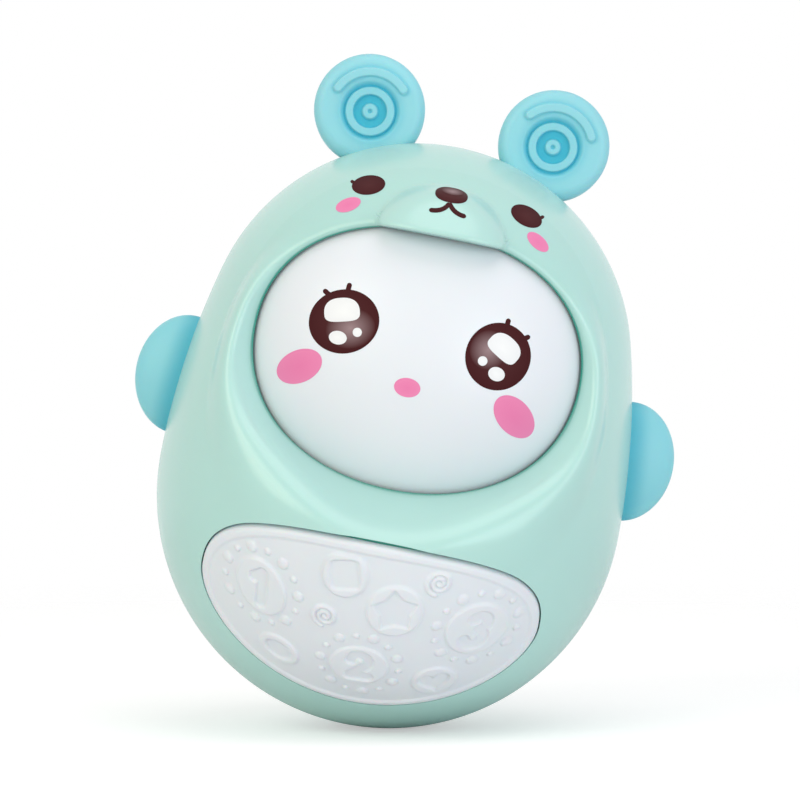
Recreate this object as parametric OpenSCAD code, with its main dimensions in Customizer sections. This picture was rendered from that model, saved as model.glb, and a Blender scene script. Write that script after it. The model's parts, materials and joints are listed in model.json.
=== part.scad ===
// Roly poly toy: a bear on a round weighted base, with a nodding doll's face in a window,
// soft ears and arms held in the seam, a soft belly panel, and a chime inside.
// Millimetres. +Z is up, the face looks along -Y, the origin is the middle of the flat under the base.

/* [Body] */
// Radius of the round base
base_r = 74; // [70:0.5:78]
// Radius of the round top
top_r = 68.3; // [65:0.1:71]
// Height of the body, without the ears
body_h = 186.5; // [180:0.5:194]
// Radius of the long side arc between the base and the top
side_r = 242.5; // [200:2.5:320]
// Wall of the two shells
wall = 2.2; // [1.9:0.1:2.8]
// Flat under the base, on which the toy comes to rest
foot_d = 12; // [8:1:20]

/* [Face window] */
// Width of the window, where it meets the dome
window_w = 98.8; // [92:0.2:100]
// Height of the window above the middle of the face
window_above = 37.6; // [34:0.2:38]
// Height of the window below the middle of the face
window_below = 40.6; // [36:0.2:42]
// Roundness of the window: 2 is an ellipse, more is squarer
window_power = 2.2; // [2:0.1:2.8]
// How much the window widens at its sides for each mm outwards
flare_side = 0.9; // [0.6:0.05:1.1]
// How much it widens below the face
flare_below = 0.6; // [0.4:0.05:0.7]
// How much it widens above the face
flare_above = 0.4; // [0.2:0.05:0.6]
// Thickness of the collar round the window
collar_t = 3.4; // [2.6:0.1:4]
// Gap between the dome and the collar
rim_gap = 1; // [0.7:0.1:1.4]

/* [Muzzle] */
// Radius of the muzzle's bulge
muzzle_r = 24; // [22:0.5:26]
// How far the muzzle's lower edge stands out from the head
muzzle_out = 6; // [4:0.2:8]
// Height of the muzzle's lower edge above the middle of the face
muzzle_rise = 36.2; // [35:0.2:38]
// Height of the bulge's middle above the middle of the face
muzzle_middle = 30; // [27:0.2:34]

/* [Face] */
// Gap between the dome and the inside of the round top
dome_gap = 1.3; // [1:0.1:2]
// Wall of the dome
dome_wall = 2; // [1.6:0.1:2.6]
// Angle from the middle of the dome to its edge
dome_angle = 54; // [52:0.5:56]
// Distance of the dome's four bosses inside its edge
dome_boss_in = 15.2; // [13:0.2:18]
// Angle of the bosses above and below level
dome_boss_turn = 36; // [30:1:45]
// Gap between the dome's edge and the frame behind it
frame_room = 1.1; // [0.8:0.1:2]
// Thickness of the frame behind the dome
frame_t = 3; // [2.4:0.1:4]
// Width of the frame's bars
frame_bar_w = 10; // [8:0.5:12]

/* [Ears] */
// Diameter of an ear
ear_d = 35.4; // [32:0.2:40]
// Thickness of an ear
ear_t = 12; // [10:0.5:14]
// Rounding of an ear's edge
ear_edge = 3.5; // [2:0.1:4.5]
// Lean of an ear away from upright
ear_angle = 21.8; // [19:0.2:25]
// Height of an ear's middle above the head
ear_lift = 12.2; // [11:0.2:14]
// Diameter of the dish in an ear's front
ear_dish_d = 19.2; // [16:0.2:21]
// Depth of that dish
ear_dish_depth = 1.2; // [0.8:0.1:1.8]
// Diameter of the ring in the dish
ear_ring_d = 13.1; // [11:0.1:15]
// Diameter of the button in the dish
ear_button_d = 5.4; // [4:0.1:6]
// Thickness of the ring and the button
ear_bead = 2.4; // [1.8:0.1:2.8]
// Diameter of the curved rib over the dish
ear_rib_d = 24; // [22:0.2:26]
// Thickness of that rib
ear_rib_w = 3; // [2.4:0.1:3.4]
// Angle that the rib spans
ear_rib_span = 112; // [90:2:130]
// Turn of the rib's middle away from upright
ear_rib_turn = 9; // [0:1:20]

/* [Arms] */
// Height of an arm's middle
arm_z = 98.8; // [94:0.2:102]
// Height of an arm
arm_h = 38.2; // [34:0.2:42]
// How far an arm stands out from the body
arm_out = 14.4; // [12:0.2:17]
// How far an arm's middle lies inside the body
arm_sink = 1; // [0.5:0.1:3]
// Thickness of an arm
arm_t = 17; // [14:0.5:20]

/* [Necks of the ears and arms] */
// Diameter of the neck in the seam
neck_d = 10; // [8:0.5:11]
// Diameter of the flange inside the shell
flange_d = 16; // [14:0.5:18]
// Thickness of that flange
flange_t = 2; // [1.5:0.1:3]

/* [Belly panel] */
// Width of the panel, seen square on
belly_w = 104; // [96:0.5:110]
// Height of the panel over its middle, seen square on
belly_above = 30.6; // [27:0.2:32]
// Height of the panel below its middle, seen square on
belly_below = 29.4; // [27:0.2:32]
// Roundness of its outline over the middle: 2 is an ellipse, more is squarer
belly_power_above = 2.3; // [2:0.05:2.6]
// Roundness of its outline below the middle
belly_power_below = 1.9; // [1.8:0.05:2.6]
// How far the panel looks down
belly_tilt = 35; // [33:0.5:37]
// Depth of the recess that it lies in
belly_depth = 2; // [1.6:0.1:2.4]
// How far its border stands out of the recess
belly_proud = 0.5; // [0.2:0.1:0.8]
// Width of its border
belly_border = 2.6; // [2:0.1:3.4]
// How far the field inside the border is sunk
belly_field = 0.6; // [0.4:0.1:1]
// Diameter of the studs on its back
stud_d = 4.4; // [3.6:0.2:5]
// Diameter of the studs' heads
stud_head_d = 7.2; // [6.4:0.2:8]
// Length of the studs' heads
stud_head_t = 2.2; // [1.6:0.1:3]

/* [Base weight] */
// Diameter of the iron weight
weight_d = 54; // [48:0.5:56]
// Height of its flat top above the floor
weight_top = 26; // [23:0.5:28]
// Diameter of the two posts that it sits on
post_d = 7; // [6:0.2:8]
// Sideways place of the posts
post_x = 14; // [12:0.5:16]
// Distance of the posts in front of the seam
post_y = 9; // [7:0.5:11]
// Thickness of the clamp plate
clamp_t = 2.5; // [2:0.1:3.5]
// Depth of the clamp plate, front to back
clamp_depth = 16; // [14:0.5:20]

/* [Nodding] */
// Diameter of the nod axle and the sway pin
axle_d = 4; // [3.6:0.1:4.4]
// Diameter of the cradle's tube round the axle
tube_d = 10; // [9:0.2:11]
// Diameter of the hubs round the sway pin
hub_d = 12; // [10:0.2:13]
// Length of the frame's hub behind the frame
hub_back = 7; // [6:0.2:9]
// Thickness of the pivot brackets
bracket_t = 4; // [3.4:0.1:5]
// Room between a bracket and the shell beside it
bracket_room = 8.5; // [8:0.1:9]
// Height of a pivot bracket
bracket_h = 26; // [24:0.5:30]
// How far a pivot bracket reaches forwards
bracket_reach = 21; // [20:0.5:24]
// Distance of its screws in front of the axle
bracket_screw_y = 15; // [13:0.5:16]
// Distance of its screws above and below the axle
bracket_screw_z = 8; // [7:0.5:9]
// Width of the cradle's tail
tail_w = 12; // [10:0.5:16]
// Thickness of the cradle's tail
tail_t = 8; // [7:0.5:9]
// Width of the nod weight
nod_weight_w = 24; // [22:0.5:30]
// Depth of the nod weight, front to back
nod_weight_depth = 16; // [14:0.5:18]
// Height of the nod weight
nod_weight_h = 18.3; // [16:0.1:22]
// Distance of the nod weight behind the axle
nod_weight_y = 38; // [34:0.5:42]
// Width of the chin weight
chin_w = 30; // [26:0.5:34]
// Height of the chin weight
chin_h = 9; // [8:0.5:11]
// Thickness of the chin weight
chin_t = 6; // [5:0.5:7]
// Distance of the chin weight below the axle
chin_drop = 30; // [27:0.5:32]

/* [Chime] */
// Height of the chime's arm, as a share of the room between the base weight and the nod weight
chime_share = 0.635; // [0.6:0.005:0.65]
// Thickness of the chime's arm and foot
chime_t = 4; // [3:0.2:5]
// Width of the chime's arm
chime_w = 44; // [42:0.5:50]
// Width of the chime's foot
foot_w = 28; // [26:0.5:32]
// Height of the chime's foot, as a share of the room under the arm
foot_share = 0.48; // [0.44:0.01:0.52]
// Room between the chime's foot and the back of the shell
foot_room = 11; // [10:0.5:12]
// Distance of the hammer behind the seam
hammer_y = 4; // [0:0.5:8]
// Diameter of the chime bars
bar_d = 5; // [4:0.2:6]
// Length of the chime bars, as a share of the room under the arm
bar_share = 0.867; // [0.78:0.001:0.9]
// Sideways place of the chime bars
bar_x = 17; // [16.5:0.1:18]
// Diameter of the hammer's ball
ball_d = 12; // [10:0.2:12.4]
// Length of the hammer to the middle of its ball, as a share of the room under the arm
hammer_share = 0.53; // [0.48:0.01:0.58]
// Diameter of the hammer's pin
hammer_pin_d = 3; // [2.6:0.1:3.4]
// Diameter of the hammer's eye
eye_d = 8; // [7:0.2:9]
// Width of the hammer's eye
eye_w = 5.2; // [4.6:0.1:6]
// Thickness of the lugs beside the eye
lug_t = 3; // [2.4:0.1:4]

/* [Screws] */
// Diameter of the screws
screw_d = 2.8; // [2.5:0.1:3]
// Length of the screws under their heads
screw_len = 12; // [11:0.5:13]
// Length of the pivot brackets' shorter screws
short_screw_len = 8; // [7:0.5:9]
// Diameter of the screws' heads
head_d = 5.6; // [5:0.1:6]
// Height of their heads
head_h = 2; // [1.6:0.1:2.4]
// Diameter of the bosses that take the screws
boss_d = 9; // [8:0.2:10]
// Depth of plastic under the head of a shell screw
screw_seat = 5.4; // [4:0.1:6]
// Distance of the lowest pair of shell screws below the middle of the base
screw_low = 29.8; // [26:0.2:34]
// Distance of the middle pair below the middle of the arms
screw_mid = 20.8; // [19:0.2:24]
// Distance of the highest pair above the middle of the round top
screw_high = 41.8; // [38:0.2:44]

/* [Clearances] */
// Round parts that turn on each other, and pins in their holes
running = 0.05; // [0.03:0.01:0.08]
// Still parts that sit in or on each other
seat = 0.15; // [0.1:0.05:0.3]
// Posts and screws in the holes that they pass through
hole_room = 0.3; // [0.2:0.05:0.5]
// Sideways play of the cradle between its brackets, and of the hubs and the hammer
side_play = 0.4; // [0.3:0.05:0.6]

/* [Hidden] */
$fn = 120;

mint = "#a9ded0";
turquoise = "#7fcfe0";
white = "#f3f4f6";
grey = "#8f979c";
steel = "#b9bec4";
iron = "#4c4f52";

// Larger than the toy in every direction
reach = 2 * body_h;

// Middles of the base, top and side arcs of the body's outline
base_z = sqrt(pow(base_r, 2) - pow(foot_d / 2, 2));
top_z = body_h - top_r;
side_z = (pow(side_r - base_r, 2) - pow(side_r - top_r, 2) + pow(top_z, 2) - pow(base_z, 2))
    / (2 * (top_z - base_z));
side_c = sqrt(pow(side_r - base_r, 2) - pow(side_z - base_z, 2));
// Angles at which the side arc runs into the base and the top
base_lean = atan2(base_z - side_z, side_c);
top_lean = atan2(top_z - side_z, side_c);

// Radius of the body at a height
function body_radius(z) =
    z < base_z + base_r * sin(base_lean) ? sqrt(pow(base_r, 2) - pow(z - base_z, 2))
    : z > top_z + top_r * sin(top_lean) ? sqrt(pow(top_r, 2) - pow(z - top_z, 2))
    : sqrt(pow(side_r, 2) - pow(z - side_z, 2)) - side_c;
function ray_end(z, lean) = [reach * cos(lean), z + reach * sin(lean)];
function signed_power(value, power) = sign(value) * pow(abs(value), power);
function oval(half_w, half_above, half_below, power_above, power_below, steps = 72) = [
    for (i = [0 : steps - 1])
        let (
            a = 360 * i / steps,
            half_h = sin(a) > 0 ? half_above : half_below,
            power = sin(a) > 0 ? power_above : power_below
        )
            [half_w * signed_power(cos(a), 2 / power), half_h * signed_power(sin(a), 2 / power)]
];

// The dome turns about the middle of the round top, inside the shell
dome_r = top_r - wall - dome_gap;
rim_r = dome_r + rim_gap;
window_near = dome_r * cos(dome_angle) + dome_wall;
window_far = max(base_r, top_r) + 2 * muzzle_out;
// Half a window's size at a depth, from its half where it meets the dome
function window_half(half, flare, depth) =
    half + (depth - sqrt(pow(dome_r, 2) - pow(half, 2))) * flare;

muzzle_z = top_z + muzzle_rise;
muzzle_y = body_radius(muzzle_z) + muzzle_out
    - sqrt(pow(muzzle_r, 2) - pow(muzzle_rise - muzzle_middle, 2));

screw_hole_r = screw_d / 2 + hole_room;
thread_r = screw_d / 2 + running;
dome_edge = dome_r * cos(dome_angle);
frame_front = dome_edge - frame_room;
frame_back = frame_front - frame_t;
// The pad at each end of a bar is a little wider than the bar
frame_pad_d = frame_bar_w + 1;
dome_boss_r = dome_r * sin(dome_angle) - dome_boss_in;
dome_boss_x = dome_boss_r * cos(dome_boss_turn);
dome_boss_z = dome_boss_r * sin(dome_boss_turn);

// Outer faces of the pivot brackets, and the ends of the cradle's tube
bracket_out = body_radius(top_z) - wall - bracket_room;
tube_half = bracket_out - bracket_t - side_play;
hub_end = frame_back - hub_back;
clip_t = 1;
clip_d = hub_d - 3;
chin_z = top_z - chin_drop;

// Places of the shell screws, each against the inside of the shell
screw_heights = [base_z - screw_low, arm_z - screw_mid, top_z + screw_high];
function screw_x(z) = body_radius(z) - wall - boss_d / 2 + 0.6;

// Room between the base weight's screws and the nod weight, and the chime in it
weight_stack = weight_top + clamp_t + head_h;
chime_rise = chime_share * (top_z - tail_t / 2 - nod_weight_h - weight_stack);
chime_z = weight_stack + chime_rise;
foot_h = foot_share * chime_rise;
bar_len = bar_share * chime_rise;
hammer_len = hammer_share * chime_rise;
foot_y = body_radius(chime_z) - wall - foot_room;
foot_screw_x = foot_w / 2 - boss_d / 2;
foot_screw_z = chime_z - foot_h / 2;
hammer_z = chime_z - eye_d / 2 - side_play;
nut_d = bar_d + 1.6;
spigot_d = bar_d - 2;
nut_t = 2.4;

// Building blocks

module front_half() {
    translate([-reach, -reach, -reach]) cube([2 * reach, reach, 2 * reach]);
}

module rear_half() {
    translate([-reach, 0, -reach]) cube([2 * reach, reach, 2 * reach]);
}

// Half of the body's outline, drawn smaller by an inset
module body_2d(inset) {
    intersection() {
        square(reach);
        union() {
            intersection() {
                translate([0, base_z]) circle(base_r - inset);
                polygon([[0, base_z], ray_end(base_z, base_lean), [reach, -reach], [0, -reach]]);
            }
            intersection() {
                translate([-side_c, side_z]) circle(side_r - inset);
                polygon([[0, base_z], ray_end(base_z, base_lean), ray_end(top_z, top_lean), [0, top_z]]);
            }
            intersection() {
                translate([0, top_z]) circle(top_r - inset);
                polygon([[0, top_z], ray_end(top_z, top_lean), [reach, reach], [0, reach]]);
            }
        }
    }
}

// The body, turned so that the start of its sweep lies in no cut
module body(inset = 0) {
    rotate(60) rotate_extrude() body_2d(inset);
}

// A sphere whose poles lie on X, clear of what is cut from it
module ball(r) {
    rotate([0, 90, 0]) sphere(r);
}

// A cylinder along Y, from one depth to another
module rod_y(d, from, to) {
    translate([0, from, 0]) rotate([-90, 0, 0]) cylinder(d = d, h = to - from);
}

// A cylinder along X, from one side to another
module rod_x(d, from, to) {
    translate([from, 0, 0]) rotate([0, 90, 0]) cylinder(d = d, h = to - from);
}

// A cross-headed screw that points down, with its seat at the origin
module screw(length = screw_len) {
    difference() {
        union() {
            cylinder(d = head_d, h = head_h);
            translate([0, 0, -length]) cylinder(d = screw_d, h = length + head_h / 2);
        }
        for (turn = [0, 90])
            rotate(turn) translate([-head_d / 3, -0.4, head_h * 0.45])
                cube([2 * head_d / 3, 0.8, head_h]);
    }
}

// The face window, larger by a growth, from inside the dome to in front of the toy
module window_slice(depth, growth) {
    translate([0, -depth, top_z]) rotate([90, 0, 0]) linear_extrude(0.01)
        polygon(oval(
            window_half(window_w / 2, flare_side, depth) + growth,
            window_half(window_above, flare_above, depth) + growth,
            window_half(window_below, flare_below, depth) + growth,
            window_power,
            window_power
        ));
}

module window_funnel(growth) {
    hull() {
        window_slice(window_near, growth);
        window_slice(window_far, growth);
    }
}

// The frame of an ear: its +Z leaves the middle of the round top through the ear
module at_ear(side) {
    translate([0, 0, top_z]) rotate([0, side * ear_angle, 0]) children();
}

// The frame of the belly panel: its +Z leaves the middle of the base through the panel
module at_belly() {
    translate([0, 0, base_z]) rotate([90 + belly_tilt, 0, 0]) children();
}

module belly_prism(growth) {
    linear_extrude(base_r + 10)
        polygon(oval(
            belly_w / 2 + growth,
            belly_above + growth,
            belly_below + growth,
            belly_power_above,
            belly_power_below
        ));
}

// The studs' directions in the panel's frame
module at_belly_studs() {
    for (turn = [[0, 28], [0, -28], [13, 0], [-13, 0]])
        rotate([turn[0], turn[1], 0]) children();
}

module at_shell_screws() {
    for (z = screw_heights, side = [-1, 1])
        translate([side * screw_x(z), 0, z]) children();
}

module at_posts() {
    for (side = [-1, 1])
        translate([side * post_x, -post_y, 0]) children();
}

module at_bracket_screws(side) {
    for (up = [-1, 1])
        translate([0, -bracket_screw_y, top_z + up * bracket_screw_z])
            rotate([0, -side * 90, 0]) children();
}

module at_dome_bosses() {
    for (sx = [-1, 1], sz = [-1, 1])
        translate([sx * dome_boss_x, 0, top_z + sz * dome_boss_z]) children();
}

module at_chin_screws() {
    for (side = [-1, 1])
        translate([side * chin_w / 4, 0, chin_z]) children();
}

module at_foot_screws() {
    for (side = [-1, 1])
        translate([side * foot_screw_x, 0, foot_screw_z]) children();
}

module at_nod_weight_screws() {
    for (along = [-1, 1])
        translate([0, nod_weight_y + along * nod_weight_depth / 4, 0]) children();
}

// Slots in the seam for the necks of the ears and arms
module neck_slots() {
    for (side = [-1, 1]) {
        at_ear(side) rotate(45) cylinder(d = neck_d + 2 * seat, h = reach / 2);
        translate([0, 0, arm_z]) rotate([0, side * 90, 0]) rotate(45)
            cylinder(d = neck_d + 2 * seat, h = reach / 2);
    }
}

// Shells

module muzzle() {
    difference() {
        intersection() {
            translate([0, -muzzle_y, top_z + muzzle_middle]) ball(muzzle_r);
            translate([-reach, -reach, muzzle_z]) cube([2 * reach, reach, reach]);
        }
        translate([0, 0, top_z]) ball(rim_r);
    }
}

module window_collar() {
    difference() {
        intersection() {
            body(wall / 2);
            window_funnel(collar_t);
        }
        translate([0, 0, top_z]) ball(rim_r);
    }
}

module belly_floor() {
    at_belly() intersection() {
        belly_prism(wall + seat);
        difference() {
            ball(base_r - wall / 2);
            ball(base_r - belly_depth - wall);
        }
    }
}

module belly_recess() {
    at_belly() {
        difference() {
            intersection() {
                belly_prism(2 * seat);
                ball(base_r + 3);
            }
            ball(base_r - belly_depth);
        }
        at_belly_studs() cylinder(d = stud_d + 2 * seat, h = base_r);
    }
}

module weight_posts() {
    rise = base_z - sqrt(pow(base_r - wall / 2, 2) - pow(post_x, 2) - pow(post_y, 2));
    at_posts() translate([0, 0, rise]) cylinder(d = post_d, h = weight_top - hole_room - rise);
}

module front_shell() {
    boss_len = screw_len - screw_seat + 3;
    color(mint) difference() {
        union() {
            difference() {
                union() {
                    intersection() {
                        difference() {
                            body();
                            body(wall);
                        }
                        front_half();
                    }
                    window_collar();
                }
                window_funnel(0);
            }
            muzzle();
            belly_floor();
            weight_posts();
            intersection() {
                body(wall / 2);
                union() {
                    at_shell_screws() rod_y(boss_d, -boss_len, 0);
                    for (side = [-1, 1])
                        translate([side * bracket_out, 0, 0]) at_bracket_screws(side)
                            mirror([0, 0, 1]) cylinder(d = boss_d, h = 2 * bracket_room);
                }
            }
        }
        belly_recess();
        neck_slots();
        at_shell_screws() rod_y(2 * thread_r, -boss_len + 1, 1);
        at_posts() translate([0, 0, weight_top - screw_len]) cylinder(r = thread_r, h = screw_len);
        for (side = [-1, 1])
            translate([side * bracket_out, 0, 0]) at_bracket_screws(side)
                translate([0, 0, bracket_t - short_screw_len - 0.5])
                    cylinder(r = thread_r, h = short_screw_len);
    }
}

module rear_shell() {
    color(mint) difference() {
        union() {
            intersection() {
                difference() {
                    body();
                    body(wall);
                }
                rear_half();
            }
            intersection() {
                body(wall / 2);
                union() {
                    at_shell_screws() rod_y(boss_d, 0, base_r);
                    at_foot_screws() rod_y(boss_d, foot_y, base_r);
                }
            }
        }
        neck_slots();
        at_shell_screws() {
            rod_y(2 * screw_hole_r, -1, reach / 2);
            rod_y(head_d + 2 * hole_room, screw_seat, reach / 2);
        }
        at_foot_screws() rod_y(2 * thread_r, foot_y - 1, foot_y - chime_t + screw_len + 0.5);
    }
}

module shell_screws() {
    color(steel) at_shell_screws() translate([0, screw_seat, 0]) rotate([-90, 0, 0]) screw();
}

// Soft ears, arms and belly panel

// Half of an ear's section, with its front upwards
module ear_2d() {
    r = ear_d / 2;
    half = ear_t / 2;
    dish_r = (pow(ear_dish_d / 2, 2) + pow(ear_dish_depth, 2)) / (2 * ear_dish_depth);
    difference() {
        union() {
            translate([0, -half]) square([r - ear_edge, ear_t]);
            translate([r - ear_edge, -half + ear_edge]) square([ear_edge, ear_t - 2 * ear_edge]);
            for (up = [0, 1])
                translate([r - ear_edge, 0]) mirror([0, up]) translate([0, half - ear_edge])
                    intersection() {
                        circle(ear_edge);
                        square(ear_edge);
                    }
        }
        translate([0, half - ear_dish_depth + dish_r]) circle(dish_r);
    }
    for (d = [ear_ring_d, ear_button_d - ear_bead])
        translate([d / 2, half - ear_dish_depth + ear_bead / 4]) circle(d = ear_bead);
}

module ear(side) {
    middle = top_r + ear_lift;
    rib_start = 90 - ear_rib_span / 2 + side * (ear_angle - ear_rib_turn);
    color(turquoise) at_ear(side) {
        difference() {
            translate([0, 0, middle]) rotate([90, 0, 0]) union() {
                rotate_extrude() ear_2d();
                translate([0, 0, ear_t / 2 - ear_rib_w / 6]) rotate(rib_start)
                    rotate_extrude(angle = ear_rib_span)
                        translate([ear_rib_d / 2, 0]) circle(d = ear_rib_w);
            }
            ball(top_r + seat);
        }
        translate([0, 0, top_r - wall - flange_t]) cylinder(d = neck_d, h = wall + flange_t + ear_lift / 2);
        intersection() {
            translate([0, 0, top_r - wall - 2 * flange_t]) cylinder(d = flange_d, h = 2 * flange_t);
            ball(top_r - wall - seat);
        }
    }
}

module ear_left() { ear(-1); }

module ear_right() { ear(1); }

module arm(side) {
    side_at = body_radius(arm_z);
    color(turquoise) {
        difference() {
            translate([side * (side_at - arm_sink), 0, arm_z])
                scale([(arm_out + arm_sink) / arm_h, arm_t / arm_h / 2, 0.5]) sphere(arm_h);
            body(-seat);
        }
        translate([side * side_at, 0, arm_z]) rotate([0, side * 90, 0]) {
            translate([0, 0, -wall - flange_t])
                cylinder(d = neck_d, h = wall + flange_t + arm_out / 2);
        }
        intersection() {
            translate([side * side_at, 0, arm_z]) rotate([0, side * 90, 0])
                translate([0, 0, -wall - 2 * flange_t]) cylinder(d = flange_d, h = 2 * flange_t);
            body(wall + seat);
        }
    }
}

module arm_left() { arm(-1); }

module arm_right() { arm(1); }

module belly_panel() {
    floor_r = base_r - belly_depth;
    back_r = floor_r - wall - seat;
    color(white) at_belly() {
        difference() {
            intersection() {
                belly_prism(0);
                ball(base_r + belly_proud);
            }
            ball(floor_r + seat);
            difference() {
                belly_prism(-belly_border);
                ball(base_r + belly_proud - belly_field);
            }
        }
        at_belly_studs() {
            translate([0, 0, back_r - stud_head_t]) {
                cylinder(d = stud_d, h = floor_r + 2 * seat - back_r + stud_head_t);
                cylinder(d1 = stud_d, d2 = stud_head_d, h = stud_head_t - seat);
            }
        }
    }
}

// Base weight

module base_weight() {
    color(iron) difference() {
        rotate_extrude() intersection() {
            translate([0, base_z]) circle(base_r - wall - seat);
            square([weight_d / 2, weight_top]);
        }
        at_posts() cylinder(d = post_d + 2 * hole_room, h = reach / 2);
    }
}

module weight_clamp() {
    length = 2 * post_x + boss_d;
    color(grey) difference() {
        translate([-length / 2, -post_y - clamp_depth / 2, weight_top]) cube([length, clamp_depth, clamp_t]);
        at_posts() cylinder(r = screw_hole_r, h = reach / 2);
    }
}

module weight_screws() {
    color(steel) at_posts() translate([0, 0, weight_top + clamp_t]) screw();
}

// Nodding and swaying face

module pivot_bracket(side) {
    inner = bracket_out - bracket_t;
    color(grey) difference() {
        translate([side > 0 ? inner : -bracket_out, 0, top_z]) union() {
            rod_x(bracket_h / 2, 0, bracket_t);
            translate([0, -bracket_reach, -bracket_h / 2])
                cube([bracket_t, bracket_reach - tube_d / 2, bracket_h]);
            translate([0, -bracket_reach, -bracket_h / 4]) cube([bracket_t, bracket_reach, bracket_h / 2]);
        }
        translate([0, 0, top_z]) rod_x(axle_d + 2 * running, -reach, reach);
        translate([side * bracket_out, 0, 0]) at_bracket_screws(side)
            translate([0, 0, -1]) cylinder(r = screw_hole_r, h = bracket_t + 2);
    }
}

module pivot_bracket_left() { pivot_bracket(-1); }

module pivot_bracket_right() { pivot_bracket(1); }

module bracket_screws() {
    color(steel) for (side = [-1, 1])
        translate([side * (bracket_out - bracket_t), 0, 0]) at_bracket_screws(side)
            screw(short_screw_len);
}

module nod_cradle() {
    tail_end = nod_weight_y + nod_weight_depth / 2;
    color(grey) difference() {
        translate([0, 0, top_z]) {
            rod_x(tube_d, -tube_half, tube_half);
            rod_y(hub_d, -hub_end + side_play, 0);
            translate([-tail_w / 2, 0, -tail_t / 2]) cube([tail_w, tail_end, tail_t]);
        }
        translate([0, 0, top_z]) {
            rod_x(axle_d + 2 * running, -reach, reach);
            rod_y(axle_d + 2 * running, -reach, -tube_d / 2);
        }
        at_nod_weight_screws() cylinder(r = screw_hole_r, h = reach);
    }
}

module nod_axle() {
    color(steel) translate([0, 0, top_z]) rod_x(axle_d, -bracket_out, bracket_out);
}

module nod_weight() {
    top = top_z - tail_t / 2;
    color(iron) difference() {
        translate([-nod_weight_w / 2, nod_weight_y - nod_weight_depth / 2, top - nod_weight_h])
            cube([nod_weight_w, nod_weight_depth, nod_weight_h]);
        at_nod_weight_screws() translate([0, 0, top + tail_t - screw_len - 0.5])
            cylinder(r = thread_r, h = screw_len);
    }
}

module nod_weight_screws() {
    color(steel) at_nod_weight_screws() translate([0, 0, top_z + tail_t / 2]) screw();
}

module sway_pin() {
    color(steel) translate([0, 0, top_z]) rod_y(axle_d, -frame_front - side_play - clip_t - 1, -tube_d / 2);
}

module pin_clip() {
    near = frame_front + side_play;
    color(steel) translate([0, 0, top_z]) difference() {
        rod_y(clip_d, -near - clip_t, -near);
        rod_y(axle_d + 2 * running, -reach, reach);
    }
}

module face_dome() {
    color(white) difference() {
        union() {
            translate([0, 0, top_z]) intersection() {
                difference() {
                    ball(dome_r);
                    ball(dome_r - dome_wall);
                }
                translate([-reach, -reach - dome_edge, -reach]) cube([2 * reach, reach, 2 * reach]);
            }
            intersection() {
                translate([0, 0, top_z]) ball(dome_r - dome_wall / 2);
                at_dome_bosses() rod_y(boss_d, -dome_r, -frame_front);
            }
        }
        at_dome_bosses() rod_y(2 * thread_r, -frame_back - screw_len - 0.5, -frame_front + 1);
    }
}

module face_frame() {
    arm_len = norm([dome_boss_x, dome_boss_z]);
    arm_turn = atan2(dome_boss_z, dome_boss_x);
    chin_boss = screw_len - chin_t + 1;
    color(grey) difference() {
        union() {
            translate([0, -frame_back, top_z]) rotate([90, 0, 0]) linear_extrude(frame_t) {
                for (turn = [arm_turn, -arm_turn])
                    rotate(turn) square([2 * arm_len, frame_bar_w], center = true);
                translate([-chin_w / 2, -chin_drop - chin_h / 2]) square([chin_w, chin_h]);
                translate([-frame_bar_w / 2, -chin_drop]) square([frame_bar_w, chin_drop]);
            }
            at_dome_bosses() rod_y(frame_pad_d, -frame_front, -frame_back);
            at_chin_screws() rod_y(boss_d - 1, -frame_back - chin_boss, -frame_back);
            translate([0, 0, top_z]) rod_y(hub_d, -frame_front, -hub_end);
        }
        translate([0, 0, top_z]) rod_y(axle_d + 2 * running, -reach, 0);
        at_dome_bosses() rod_y(2 * screw_hole_r, -reach, 0);
        at_chin_screws() rod_y(2 * thread_r, -frame_back - chin_boss + 0.6, 0);
    }
}

module chin_weight() {
    color(iron) difference() {
        translate([-chin_w / 2, -frame_back, chin_z - chin_h / 2]) cube([chin_w, chin_t, chin_h]);
        at_chin_screws() rod_y(2 * screw_hole_r, -reach, 0);
    }
}

module face_screws() {
    color(steel) {
        at_dome_bosses() translate([0, -frame_back, 0]) rotate([-90, 0, 0]) screw();
        at_chin_screws() translate([0, -frame_back + chin_t, 0]) rotate([-90, 0, 0]) screw();
    }
}

// Chime

module chime_bracket() {
    arm_front = hammer_y - eye_w / 2 - side_play - lug_t;
    color(grey) difference() {
        union() {
            translate([-chime_w / 2, arm_front, chime_z]) cube([chime_w, foot_y - arm_front, chime_t]);
            translate([-foot_w / 2, foot_y - chime_t, chime_z - foot_h])
                cube([foot_w, chime_t, foot_h + chime_t]);
            for (along = [-1, 1])
                translate([0, hammer_y + along * (eye_w / 2 + side_play + lug_t / 2), 0])
                    translate([-eye_d / 2, -lug_t / 2, hammer_z - eye_d / 2])
                        cube([eye_d, lug_t, chime_z - hammer_z + eye_d / 2]);
        }
        at_foot_screws() rod_y(2 * screw_hole_r, 0, reach);
        translate([0, 0, hammer_z])
            rod_y(hammer_pin_d + 2 * running, arm_front - 1, hammer_y + eye_w + lug_t);
        for (side = [-1, 1])
            translate([side * bar_x, hammer_y, 0]) cylinder(d = spigot_d + 2 * running, h = reach);
    }
}

module chime_bracket_screws() {
    color(steel) at_foot_screws() translate([0, foot_y - chime_t, 0]) rotate([90, 0, 0]) screw();
}

module chime_bars() {
    color(steel) for (side = [-1, 1])
        translate([side * bar_x, hammer_y, chime_z]) {
            translate([0, 0, -bar_len]) cylinder(d = bar_d, h = bar_len);
            translate([0, 0, -1]) cylinder(d = spigot_d, h = chime_t + nut_t + 1.6);
        }
}

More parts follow.
